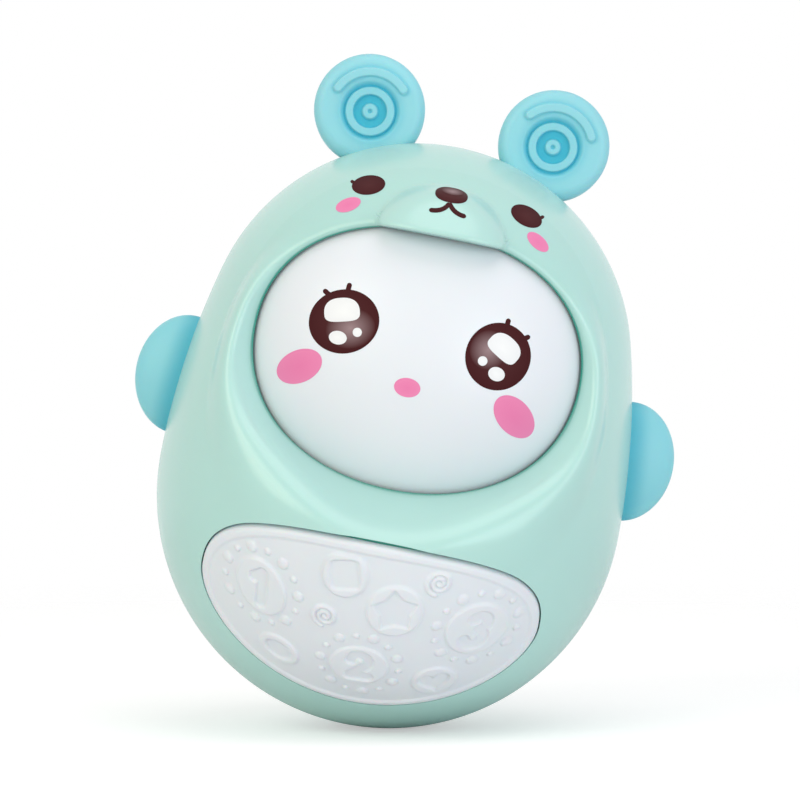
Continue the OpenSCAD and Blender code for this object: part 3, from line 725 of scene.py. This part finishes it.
# Sizes of the waves that a heart's height is made of
HEART_WAVES = (0.81, -0.31, -0.12, -0.06)


def heart(middle, size, turn, steps=60):
    """A closed heart."""
    a = np.linspace(0, 2 * math.pi, steps)
    x = size * np.sin(a) ** 3
    y = size * sum(wave * np.cos((i + 1) * a) for i, wave in enumerate(HEART_WAVES))
    return place(np.stack([x, y], axis=-1), middle, turn)


# Raised pads on the panel, each with what is sunk in it: a closed outline, or a line and half its width
EMBOSS_H = 0.8
EMBOSS_SOFT = 0.5
ONE_AT, TWO_AT, THREE_AT = (-32.7, 6.5), (0.7, -10.3), (33.2, 6.2)
SQUARE_AT, STAR_AT, OVAL_AT, HEART_AT = (-8.6, 20.8), (8.0, 12.2), (-24.1, -13.7), (24.0, -14.4)
FIGURE = 1.7
ONE = [(-2.2, 2.8), (0.2, 4.8), (0.4, -5.0)]
TWO = np.concatenate([arc((0, 2.0), 2.7, 170, -35), [(-2.6, -4.2), (2.8, -4.2)]])
THREE = np.concatenate([arc((0, 2.4), 2.4, 150, -75), arc((0, -2.5), 2.8, 75, -150)])
PADS = [
    (ellipse(ONE_AT, (7.7, 9.0), 30), place(ONE, ONE_AT, 4), FIGURE),
    (ellipse(TWO_AT, (8.8, 7.9), 8), place(TWO, TWO_AT, 4), FIGURE),
    (ellipse(THREE_AT, (9.2, 8.8), -42), place(THREE, THREE_AT, -14), FIGURE),
    (ellipse(SQUARE_AT, (6.9, 6.9)), square_loop(SQUARE_AT, 4.4, 5.0, 14), None),
    (ellipse(STAR_AT, (8.3, 8.3)), star(STAR_AT, 7.0, 4.7, 9), None),
    (ellipse(OVAL_AT, (6.6, 5.2), -23), ellipse(OVAL_AT, (4.4, 3.1), -23), None),
    (ellipse(HEART_AT, (6.6, 6.2), 27), heart(HEART_AT, 4.6, 14), None),
]
SPIRALS_AT = ((19.5, 22.4), (-12.1, 5.9))
SPIRAL_R = 3.8
SPIRAL_HALF = 0.8
SPIRAL_EDGE = (0.2, 1.3)

# Rings of dots round the numbered ovals, larger and smaller by turns
DOTS_EACH = 14
DOT_LARGE = 1.7
DOT_SMALL = 1.0
DOT_H = 0.9 * EMBOSS_H
DOT_RINGS = [(ONE_AT, 11.9, 12), (TWO_AT, 12.0, 25), (THREE_AT, 12.2, 16)]

# The panel's border, by distance in from the edge: where it rolls over and by how much, where it slopes
# down to the field and where shapes set in; what lies within the inner share is clear of the border
BORDER_ROLL = 1.1
BORDER_DROP = 0.9
BORDER_SLOPE = (1.7, 3.1)
SHAPES_FROM = (3.0, 4.2)
INNER_SHARE = 0.4


def line_distance(xy, line):
    """Distance of each point to a line of points."""
    best = np.full(len(xy), np.inf)
    for a, b in zip(line[:-1], line[1:]):
        along = b - a
        t = np.clip(((xy - a) @ along) / max(along @ along, TINY), 0, 1)
        best = np.minimum(best, np.linalg.norm(xy - a - t[:, None] * along, axis=-1))
    return best


def depth_in(xy, loop):
    """Distance of each point inside a closed line of points, less than 0 outside."""
    held = np.zeros(len(xy), dtype=bool)
    for (x0, y0), (x1, y1) in zip(loop[:-1], loop[1:]):
        if y0 != y1:
            level = (y0 > xy[:, 1]) != (y1 > xy[:, 1])
            held ^= level & (xy[:, 0] < (x1 - x0) * (xy[:, 1] - y0) / (y1 - y0) + x0)
    far = line_distance(xy, loop)
    return np.where(held, far, -far)


def panel_relief(xy):
    """Height of the pads, spirals and dots at points of the panel's plane."""
    rise = np.zeros(len(xy))
    for pad, sunk, half in PADS:
        low, high = pad.min(axis=0) - EMBOSS_SOFT, pad.max(axis=0) + EMBOSS_SOFT
        mask = np.all((xy > low) & (xy < high), axis=-1)
        here = xy[mask]
        if half is None:
            inner = smoothstep(-EMBOSS_SOFT, EMBOSS_SOFT, depth_in(here, sunk))
        else:
            inner = 1 - smoothstep(half - EMBOSS_SOFT, half + EMBOSS_SOFT, line_distance(here, sunk))
        outer = smoothstep(-EMBOSS_SOFT, EMBOSS_SOFT, depth_in(here, pad))
        rise[mask] = EMBOSS_H * outer * (1 - inner)
    for at in SPIRALS_AT:
        far = line_distance(xy, spiral(at, SPIRAL_R)) / SPIRAL_HALF
        rise = np.maximum(rise, EMBOSS_H * (1 - smoothstep(*SPIRAL_EDGE, far)))
    for middle, radius, start in DOT_RINGS:
        for i, at in enumerate(arc(middle, radius, start, start + 360, DOTS_EACH + 1)[:-1]):
            size = DOT_SMALL if i % 2 else DOT_LARGE
            far = np.linalg.norm(xy - at, axis=-1)
            rise = np.maximum(rise, DOT_H * np.sqrt(np.maximum(1 - (far / size) ** 2, 0)))
    return rise


def belly_panel():
    """The panel with its raised border and shapes, its skirt and its back."""
    outline = belly_outline()
    fractions = 1 - (1 - shares(BELLY_RINGS)) ** BELLY_CROWD
    xy = np.concatenate([np.zeros((1, 2))] + [t * outline for t in fractions])
    edge = np.full(len(xy), np.inf)
    loop = np.concatenate([outline, outline[:1]])
    close = np.abs(xy / np.array([BELLY_HALF_W, BELLY_BELOW])).max(axis=-1) > INNER_SHARE
    edge[close] = line_distance(xy[close], loop[::2])
    edge[-BELLY_COLS:] = 0.0

    rise = panel_relief(xy) * smoothstep(*SHAPES_FROM, edge)
    rolled = np.sqrt(np.maximum(1 - (1 - np.clip(edge / BORDER_ROLL, 0, 1)) ** 2, 0))
    bead = (BELLY_TOP_R - BELLY_FIELD_R) * (1 - smoothstep(*BORDER_SLOPE, edge))
    border = bead - BORDER_DROP * (1 - rolled)
    points = [belly_points(xy, BELLY_FIELD_R + border + rise), belly_points(outline, BELLY_BACK_R)]
    points += [belly_points(t * outline, BELLY_BACK_R) for t in BELLY_BACK_RINGS]
    points.append(belly_points(np.zeros((1, 2)), BELLY_BACK_R))
    faces = closed_faces(BELLY_RINGS + 1 + len(BELLY_BACK_RINGS), BELLY_COLS)
    obj = mesh_object("belly_panel_look", np.concatenate(points), faces, PANEL_SMOOTH)
    fix_normals(obj)
    return obj


# Face dome

DOME_COLS = 200
DOME_STEPS = 70
DOME_INNER_STRIDE = 5


def face_dome():
    """The outside of the dome from its middle to its edge, and its inside back again."""
    phi = full_turn(DOME_COLS)
    inner_r = DOME_R - DOME_WALL
    axis = direction(np.zeros(1), np.zeros(1))

    def ring(radius, theta):
        return C + radius * direction(np.full(DOME_COLS, theta), phi)

    thetas = np.linspace(0, DOME_ANGLE, DOME_STEPS + 1)[1:]
    rings = [ring(DOME_R, t) for t in thetas] + [ring(inner_r, t) for t in thetas[::-DOME_INNER_STRIDE]]
    points = np.concatenate([C + DOME_R * axis] + rings + [C + inner_r * axis])
    obj = mesh_object("face_dome_look", points, closed_faces(len(rings), DOME_COLS))
    fix_normals(obj)
    return obj


# Ears

EAR_COLS = 192
EAR_RINGS = 96
EAR_EDGE_STEPS = 12
EAR_BACK_RINGS = 8
DISH_R = 9.6
DISH_DEPTH = 1.5
DISH_DROP = 0.9
DISH_SOFT = 0.4
RING_R = 6.55
RING_HALF = 1.4
RING_H = 1.3
RING_EDGE = (0.7, 1.12)
BUTTON_R = 2.75
BUTTON_EDGE = (0.75, 1.1)
DIMPLE_R = 0.8
DIMPLE_DEPTH = 0.7
DIMPLE_EDGE = (0.3, 1.2)

# Painted shade beside the rib, round the dish and down in the dish; in the dish, the ring and the button
# take most of it away and the dimple keeps some
RIB_SHADE = 0.35
RIB_SHADE_REACH = 1.9
DISH_SHADE = 0.3
DISH_SHADE_IN = 0.5
RAISED_LIGHT = 0.85
DIMPLE_DARK = 0.6


def ear_relief(r, turn, side):
    """Height of an ear's front over its flat, at a radius and a turn from the ear's own upright,
    and how much shade is painted there: down in the dish, beside the rib and round the dish."""
    x, z = r * np.sin(turn), r * np.cos(turn) + DISH_DROP
    r, turn = np.hypot(x, z), np.arctan2(x, z)
    hollow = 1 - smoothstep(RING_R + RING_HALF - DISH_SOFT, DISH_R + DISH_SOFT, r)
    ring_at = 1 - smoothstep(*RING_EDGE, np.abs(r - RING_R) / RING_HALF)
    button_at = 1 - smoothstep(*BUTTON_EDGE, r / BUTTON_R)
    dimple_at = 1 - smoothstep(*DIMPLE_EDGE, r / DIMPLE_R)
    from_middle = np.abs((turn - side * (RIB_TURN - EAR_ANGLE) + math.pi) % (2 * math.pi) - math.pi)
    past = np.maximum(from_middle - RIB_SPAN / 2, 0) * RIB_R
    far = np.hypot(r - RIB_R, past) / (RIB_W / 2)
    rib_at = 1 - smoothstep(*RING_EDGE, far)
    height = -DISH_DEPTH * hollow + RING_H * ring_at + RING_H * button_at - DIMPLE_DEPTH * dimple_at
    shade_by_rib = RIB_SHADE * (1 - smoothstep(1.0, RIB_SHADE_REACH, far)) * (1 - rib_at)
    shade_round_dish = DISH_SHADE * (1 - smoothstep(DISH_R - DISH_SHADE_IN, RIB_R, r)) * (1 - hollow)
    shade_in_dish = hollow * (1 - RAISED_LIGHT * (ring_at + button_at - DIMPLE_DARK * dimple_at))
    return height + RIB_H * rib_at, shade_in_dish + np.maximum(shade_by_rib, shade_round_dish)


def ear(side):
    """An ear turned about its own axis, with its relief in front, set on the head at its lean."""
    flat_r = EAR_R - EAR_EDGE
    turns = full_turn(EAR_COLS)
    middle_rise, middle_shade = ear_relief(np.zeros(1), np.zeros(1), side)
    profile = []
    deep = [middle_shade]
    for r in np.linspace(0, flat_r, EAR_RINGS + 1)[1:]:
        relief, sunk = ear_relief(np.full(EAR_COLS, r), turns, side)
        profile.append((r, EAR_T / 2 + relief))
        deep.append(sunk)
    for a in np.radians(np.linspace(0, 90, EAR_EDGE_STEPS + 1)[1:]):
        profile.append((flat_r + EAR_EDGE * math.sin(a), EAR_T / 2 - EAR_EDGE * (1 - math.cos(a))))
    for a in np.radians(np.linspace(90, 0, EAR_EDGE_STEPS + 1)):
        profile.append((flat_r + EAR_EDGE * math.sin(a), -EAR_T / 2 + EAR_EDGE * (1 - math.cos(a))))
    for r in np.linspace(flat_r, 0, EAR_BACK_RINGS + 2)[1:-1]:
        profile.append((r, -EAR_T / 2))
    points = [np.array([[0.0, -EAR_T / 2 - middle_rise[0], 0.0]])]
    for r, h in profile:
        points.append(np.stack([r * np.sin(turns), -h * np.ones(EAR_COLS), r * np.cos(turns)], axis=-1))
    points.append(np.array([[0.0, EAR_T / 2, 0.0]]))
    flat = np.concatenate(points)
    flat[:, 2] += TOP_R + EAR_LIFT
    lean = side * EAR_ANGLE
    x = flat[:, 0] * math.cos(lean) + flat[:, 2] * math.sin(lean)
    z = -flat[:, 0] * math.sin(lean) + flat[:, 2] * math.cos(lean)
    placed = out_of_body(np.stack([x, flat[:, 1], z + TOP_Z], axis=-1))
    name = "ear_right_look" if side > 0 else "ear_left_look"
    obj = mesh_object(name, placed, closed_faces(len(profile), EAR_COLS), SOFT_SMOOTH)
    fix_normals(obj)
    # Painted shade at each point of the front, from ear_relief; the edge and the back get none
    sunk = np.zeros(len(flat))
    known = np.concatenate(deep)
    sunk[: len(known)] = known
    mark(obj, "sunk", sunk)
    return obj


# Arms

ARM_COLS = 120
ARM_ROWS = 90
ARM_SHADE = 0.75
ARM_SHADE_W = 7.0


def arm(side):
    """A rounded half disc that stands out of the body's side, with painted shade next to the body."""
    side_at = float(body_radius(np.array(ARM_Z)))
    lift = np.linspace(-math.pi / 2, math.pi / 2, ARM_ROWS + 2)[1:-1]
    turns = full_turn(ARM_COLS)
    across, through = np.cos(turns), bent(np.sin(turns), ARM_SQUARE)
    points = [np.array([[0.0, 0.0, -1.0]])]
    for v in lift:
        ring = math.cos(v)
        points.append(np.stack([ring * across, ring * through, np.full(ARM_COLS, np.sin(v))], axis=-1))
    points.append(np.array([[0.0, 0.0, 1.0]]))
    half = np.array([ARM_OUT + ARM_SINK, ARM_T / 2, ARM_H / 2])
    middle = np.array([side * (side_at - ARM_SINK), 0.0, ARM_Z])
    placed = out_of_body(np.concatenate(points) * half + middle)
    name = "arm_right_look" if side > 0 else "arm_left_look"
    obj = mesh_object(name, placed, closed_faces(ARM_ROWS, ARM_COLS), SOFT_SMOOTH)
    beyond = np.abs(placed[:, 0]) - body_radius(placed[:, 2])
    # Painted shade, deepest where the arm meets the body
    mark(obj, "sunk", ARM_SHADE * (1 - smoothstep(0.0, ARM_SHADE_W, beyond)))
    fix_normals(obj)
    return obj


# Prints, placed in the photograph's frame and laid on what carries them

INK = 0.05
PRINT_RINGS = 9
PRINT_COLS = 56
STROKE_STEPS = 25
STROKE_END = 0.02
PIXELS_DOWN = np.array([1, -1])


def laid(pixels, carrier, lift):
    """Points on a carrier's surface where the photograph's pixels fall, a little proud of it."""
    start = Vector(CAM_AT * MM)
    points = []
    for x, y in pixels:
        across = (x - PHOTO_PX / 2) * MM_PER_PX
        up = (PHOTO_PX / 2 - y) * MM_PER_PX
        d = CAM_RIGHT * across + CAM_UP * up + np.array([0.0, CAM_DISTANCE, 0.0])
        hit, normal, _, _ = carrier.ray_cast(start, Vector(d).normalized())
        if normal.y > 0:
            normal = -normal
        points.append(np.array(hit) / MM + np.array(normal) * lift)
    return np.array(points)


def print_oval(name, carrier, body, mat, at, half, turn, layer=1, power=2.0, flat=2.0):
    """An oval print: its middle and its half sizes across, above and below in pixels, its turn on the
    picture, anticlockwise, and how square it is above and below."""
    a = full_turn(PRINT_COLS)
    c, s = np.cos(a), np.sin(a)
    shape = np.where(s > 0, power, flat)
    x = half[0] * bent(c, 2 / shape)
    y = np.where(s > 0, half[1], half[-1]) * bent(s, 2 / shape)
    outline = place(np.stack([x, y], axis=-1), (0.0, 0.0), turn) * PIXELS_DOWN
    rings = shares(PRINT_RINGS)
    pixels = np.concatenate([np.zeros((1, 2))] + [t * outline for t in rings]) + np.array(at)
    obj = mesh_object(name, laid(pixels, carrier, INK * layer), disc_faces(PRINT_RINGS, PRINT_COLS))
    mark(obj, "run", np.concatenate([[0.0], np.repeat(rings, PRINT_COLS)]))
    dress(obj, mat, body)


def print_stroke(name, carrier, body, through, width):
    """A round-ended stroke through points in pixels."""
    through = np.asarray(through, dtype=float)
    s = (1 - np.cos(np.linspace(0, math.pi, STROKE_STEPS))) / 2
    knots = np.linspace(0, 1, len(through))
    fit = [np.polyfit(knots, through[:, k], len(through) - 1) for k in (0, 1)]
    line = np.stack([np.polyval(f, s) for f in fit], axis=-1)
    along = np.gradient(line, s, axis=0)
    reach = np.linalg.norm(np.diff(line, axis=0), axis=-1).sum()
    along /= np.linalg.norm(along, axis=-1)[:, None]
    side = np.stack([-along[:, 1], along[:, 0]], axis=-1)
    from_end = np.clip(np.minimum(s, 1 - s) * reach / (width / 2), STROKE_END, 1)
    half = (width / 2 * np.sqrt(np.maximum(1 - (1 - from_end) ** 2, 0)))[:, None]
    pixels = np.concatenate([line - side * half, line, line + side * half])
    obj = mesh_object(name, laid(pixels, carrier, INK), grid_faces(3, len(s), close_cols=False))
    dress(obj, LINE, body)


# Build the outer pieces

shell = front_shell()
fix_normals(shell)
cut(shell, belly_recess())
# Painted shade in the gap round the dome and in the panel's recess
mark(shell, "sunk", shell_painted_shade(shell))
shell_tree = bvh_of(shell)
dress(shell, MINT, "shell", "front_shell")
dome = face_dome()
dome_tree = bvh_of(dome)
dress(dome, WHITE, "face", "face_dome")
dress(belly_panel(), MILKY, "shell", "belly_panel")
for side, word in ((-1, "left"), (1, "right")):
    dress(ear(side), EAR_SOFT, "shell", "ear_" + word)
    dress(arm(side), TURQUOISE, "shell", "arm_" + word)

# Prints on the doll's face: middles, half sizes and the points of strokes in the photograph's pixels
EYE_LEFT = {"at": (344.1, 321.5), "half": (35.4, 32.0), "turn": 12}
EYE_RIGHT = {"at": (498.0, 356.6), "half": (32.7, 34.0), "turn": -20}
GLOW_LEFT = {"at": (350.5, 328.5), "half": (25.0, 20.0), "turn": 10}
GLOW_RIGHT = {"at": (488.5, 350.0), "half": (19.0, 20.0), "turn": -20}
GLINT_LEFT = {"at": (342.2, 312.5), "half": (17.8, 14.6, 9.2), "turn": 3, "power": 2.4, "flat": 3.4}
GLINT_RIGHT = {"at": (503.6, 349.2), "half": (17.4, 13.6, 9.6), "turn": -42, "power": 2.4, "flat": 3.4}
SPARK_LEFT_LOW = {"at": (338.0, 337.7), "half": (9.0, 6.8), "turn": -10}
SPARK_LEFT_SIDE = {"at": (357.4, 332.4), "half": (4.6, 4.6), "turn": 0}
SPARK_RIGHT_SIDE = {"at": (482.5, 361.0), "half": (4.8, 4.8), "turn": 0}
SPARK_RIGHT_LOW = {"at": (496.3, 374.1), "half": (8.4, 7.0), "turn": -20}
LASH_LEFT_OUT = [(334.0, 299.0), (329.0, 294.5), (323.6, 289.6)]
LASH_LEFT_IN = [(347.0, 295.5), (348.4, 289.0), (350.2, 283.0)]
LASH_RIGHT_IN = [(506.0, 330.5), (507.4, 324.5), (508.8, 318.6)]
LASH_RIGHT_OUT = [(518.5, 341.8), (524.0, 339.0), (530.0, 336.2)]
LASH_W = 5.0
CHEEK_LEFT = {"at": (299.4, 366.3), "half": (23.7, 16.2), "turn": 23.7}
CHEEK_RIGHT = {"at": (514.0, 416.7), "half": (24.5, 16.8), "turn": -49.0}
NOSE = {"at": (407.2, 387.6), "half": (13.3, 9.6), "turn": -11}

FACE = (dome_tree, "face")
print_oval("eye_left", *FACE, BROWN, **EYE_LEFT)
print_oval("eye_right", *FACE, BROWN, **EYE_RIGHT)
print_oval("glow_left", *FACE, GLOW_AND_HIGHLIGHT, **GLOW_LEFT, layer=2)
print_oval("glow_right", *FACE, GLOW_AND_HIGHLIGHT, **GLOW_RIGHT, layer=2)
print_oval("glint_left", *FACE, GLINT, **GLINT_LEFT, layer=3)
print_oval("glint_right", *FACE, GLINT, **GLINT_RIGHT, layer=3)
print_oval("spark_left_low", *FACE, GLINT, **SPARK_LEFT_LOW, layer=3)
print_oval("spark_left_side", *FACE, GLINT, **SPARK_LEFT_SIDE, layer=3)
print_oval("spark_right_side", *FACE, GLINT, **SPARK_RIGHT_SIDE, layer=3)
print_oval("spark_right_low", *FACE, GLINT, **SPARK_RIGHT_LOW, layer=3)
print_stroke("lash_left_out", *FACE, LASH_LEFT_OUT, LASH_W)
print_stroke("lash_left_in", *FACE, LASH_LEFT_IN, LASH_W)
print_stroke("lash_right_in", *FACE, LASH_RIGHT_IN, LASH_W)
print_stroke("lash_right_out", *FACE, LASH_RIGHT_OUT, LASH_W)
print_oval("cheek_left", *FACE, PINK, **CHEEK_LEFT)
print_oval("cheek_right", *FACE, PINK, **CHEEK_RIGHT)
print_oval("nose", *FACE, PINK, **NOSE)

# Prints on the bear's head, in the same way, and a painted highlight along the top of its nose
BEAR_NOSE = {"at": (451.5, 195.3), "half": (16.5, 7.6), "turn": -11, "power": 2.3, "flat": 2.3}
# A painted highlight along the top of the bear's nose
BEAR_NOSE_HIGHLIGHT = {"at": (452.5, 191.8), "half": (11.0, 3.6), "turn": -11}
BEAR_MOUTH_LEFT = [(449.5, 203.0), (441.5, 209.5), (429.0, 209.8)]
BEAR_MOUTH_RIGHT = [(449.5, 203.0), (455.5, 212.0), (466.0, 216.8)]
BEAR_MOUTH_W = 4.6
BEAR_EYE_LEFT = {"at": (368.6, 185.1), "half": (16.8, 9.7), "turn": 7}
BEAR_EYE_RIGHT = {"at": (526.4, 216.2), "half": (16.8, 9.7), "turn": -29}
BEAR_LASH_LEFT = [(357.0, 183.6), (353.5, 182.4), (351.0, 180.6)]
BEAR_LASH_RIGHT = [(538.5, 218.6), (541.6, 217.6), (543.6, 215.8)]
BEAR_LASH_W = 3.4
BEAR_CHEEK_LEFT = {"at": (348.3, 204.8), "half": (13.1, 6.6), "turn": 20}
BEAR_CHEEK_RIGHT = {"at": (537.8, 242.0), "half": (13.1, 6.6), "turn": -42}

HEAD = (shell_tree, "shell")
print_oval("bear_nose", *HEAD, BROWN, **BEAR_NOSE)
# Painted highlight on the bear's nose
print_oval("bear_nose_painted_highlight", *HEAD, GLOW_AND_HIGHLIGHT, **BEAR_NOSE_HIGHLIGHT, layer=2)
print_stroke("bear_mouth_left", *HEAD, BEAR_MOUTH_LEFT, BEAR_MOUTH_W)
print_stroke("bear_mouth_right", *HEAD, BEAR_MOUTH_RIGHT, BEAR_MOUTH_W)
print_oval("bear_eye_left", *HEAD, BROWN, **BEAR_EYE_LEFT)
print_oval("bear_eye_right", *HEAD, BROWN, **BEAR_EYE_RIGHT)
print_stroke("bear_lash_left", *HEAD, BEAR_LASH_LEFT, BEAR_LASH_W)
print_stroke("bear_lash_right", *HEAD, BEAR_LASH_RIGHT, BEAR_LASH_W)
print_oval("bear_cheek_left", *HEAD, PINK, **BEAR_CHEEK_LEFT)
print_oval("bear_cheek_right", *HEAD, PINK, **BEAR_CHEEK_RIGHT)

# Materials of the CAD pieces that are shown as they are
BY_SLOT = {
    "shell_mint": MINT,
    "inner_plastic": GREY,
    "iron": IRON,
    "steel": STEEL,
    "soft_turquoise": TURQUOISE,
    "soft_white": MILKY,
    "face_white": WHITE,
}
for entry in frame["record"]["subparts"]:
    node = frame["nodes"][entry["node"]]
    node.data.materials.clear()
    node.data.materials.append(BY_SLOT[entry["material_slot"]])

# Floor, light and camera, in metres except for the floor's gap, which is in millimetres;
# a lamp has a name, a place, a size, a power and a colour

FLOOR_R = 1.4
FLOOR_GAP = 0.05
FLOOR_RINGS = 4
FLOOR_COLS = 96
FLOOR_ROUGHNESS = 0.9
FLOOR_LIT = (0.9, 0.9, 0.9, 1.0)
FLOOR_SEEN = (0.7, 0.7, 0.7, 1.0)
FLOOR_GLOW = (0.44, 0.44, 0.44, 1.0)
FLOOR_CLEAR = (0.45, 0.85)
PLAIN_WHITE = (1.0, 1.0, 1.0, 1.0)
WORLD_LEVEL = 0.53
LAMPS_AIM = (0, 0, 0.1)
LIGHTS = [
    ("key", (-1.05, -1.05, 0.5), 1.1, 7.8, (1.0, 0.99, 0.80)),
    ("fill", (0.95, -1.1, 0.3), 1.1, 7.3, (0.91, 0.98, 1.0)),
    ("top", (0.0, -0.4, 1.4), 1.2, 5.0, (1.0, 1.0, 1.0)),
]


def floor_material():
    """A pale floor, as white as the background to the camera where it is lit, and clear towards its edge."""
    m, nodes, links, shader = new_material("floor_pale")
    shader.inputs["Roughness"].default_value = FLOOR_ROUGHNESS
    shader.inputs["Emission Color"].default_value = FLOOR_GLOW
    path = nodes.new("ShaderNodeLightPath")
    links.new(path.outputs["Is Camera Ray"], shader.inputs["Emission Strength"])
    seen = nodes.new("ShaderNodeMix")
    seen.data_type = "RGBA"
    seen.inputs["A"].default_value = FLOOR_LIT
    seen.inputs["B"].default_value = FLOOR_SEEN
    links.new(path.outputs["Is Camera Ray"], seen.inputs["Factor"])
    links.new(seen.outputs["Result"], shader.inputs["Base Color"])
    where = nodes.new("ShaderNodeTexCoord")
    spread = nodes.new("ShaderNodeMapping")
    spread.inputs["Scale"].default_value = (1 / FLOOR_R, 1 / FLOOR_R, 1 / FLOOR_R)
    fall = nodes.new("ShaderNodeTexGradient")
    fall.gradient_type = "SPHERICAL"
    ramp = nodes.new("ShaderNodeValToRGB")
    for element, end in zip(ramp.color_ramp.elements, FLOOR_CLEAR):
        element.position = end
    clear = nodes.new("ShaderNodeBsdfTransparent")
    mix = nodes.new("ShaderNodeMixShader")
    links.new(where.outputs["Object"], spread.inputs["Vector"])
    links.new(spread.outputs["Vector"], fall.inputs["Vector"])
    links.new(fall.outputs["Fac"], ramp.inputs["Fac"])
    links.new(ramp.outputs["Color"], mix.inputs["Fac"])
    links.new(clear.outputs["BSDF"], mix.inputs[1])
    links.new(shader.outputs["BSDF"], mix.inputs[2])
    links.new(mix.outputs["Shader"], nodes["Material Output"].inputs["Surface"])
    return m


def floor():
    """A disc that the toy leans on, level as the camera sees it."""
    turns = full_turn(FLOOR_COLS)
    points = [np.zeros((1, 3))]
    for r in shares(FLOOR_RINGS):
        points.append(np.stack([r * np.cos(turns), r * np.sin(turns), 0 * turns], axis=-1) * FLOOR_R / MM)
    obj = mesh_object("floor", np.concatenate(points), disc_faces(FLOOR_RINGS, FLOOR_COLS))
    axes = np.array([CAM_RIGHT, [0.0, 1.0, 0.0], CAM_UP]).T
    under = (BASE_C - (BASE_R + FLOOR_GAP) * CAM_UP) * MM
    obj.matrix_world = Matrix.Translation(Vector(under)) @ Matrix(axes.tolist()).to_4x4()
    obj.data.materials.append(floor_material())


def world_light():
    """A world that lights the toy at its own level and shows as white."""
    world = bpy.data.worlds.new("studio")
    bpy.context.scene.world = world
    world.use_nodes = True
    nodes = world.node_tree.nodes
    links = world.node_tree.links
    light = nodes["Background"]
    light.inputs["Color"].default_value = PLAIN_WHITE
    light.inputs["Strength"].default_value = WORLD_LEVEL
    white = nodes.new("ShaderNodeBackground")
    white.inputs["Color"].default_value = PLAIN_WHITE
    white.inputs["Strength"].default_value = 1.0
    path = nodes.new("ShaderNodeLightPath")
    seen = nodes.new("ShaderNodeMath")
    seen.operation = "MAXIMUM"
    also = nodes.new("ShaderNodeMath")
    also.operation = "MAXIMUM"
    mix = nodes.new("ShaderNodeMixShader")
    links.new(path.outputs["Is Camera Ray"], seen.inputs[0])
    links.new(path.outputs["Is Glossy Ray"], seen.inputs[1])
    links.new(seen.outputs["Value"], also.inputs[0])
    links.new(path.outputs["Is Transmission Ray"], also.inputs[1])
    links.new(also.outputs["Value"], mix.inputs["Fac"])
    links.new(light.outputs["Background"], mix.inputs[1])
    links.new(white.outputs["Background"], mix.inputs[2])
    links.new(mix.outputs["Shader"], nodes["World Output"].inputs["Surface"])


def lamp(name, at, size, power, colour):
    """A round soft lamp that faces the toy."""
    light = bpy.data.lights.new(name, "AREA")
    light.shape = "DISK"
    light.size = size
    light.energy = power
    light.color = colour
    holder = bpy.data.objects.new(name, light)
    holder.location = at
    look = Vector(LAMPS_AIM) - holder.location
    holder.rotation_euler = look.to_track_quat("-Z", "Y").to_euler()
    bpy.context.scene.collection.objects.link(holder)


floor()
world_light()
for light in LIGHTS:
    lamp(*light)

camera = bpy.data.cameras.new("camera")
camera.sensor_width = SENSOR
camera.lens = SENSOR * CAM_DISTANCE / FRAME_WIDTH
eye = bpy.data.objects.new("camera", camera)
bpy.context.scene.collection.objects.link(eye)
axes = np.array([CAM_RIGHT, CAM_UP, [0.0, -1.0, 0.0]]).T
eye.matrix_world = Matrix.Translation(Vector(CAM_AT * MM)) @ Matrix(axes.tolist()).to_4x4()
bpy.context.scene.camera = eye
bpy.context.scene.view_settings.view_transform = "Standard"
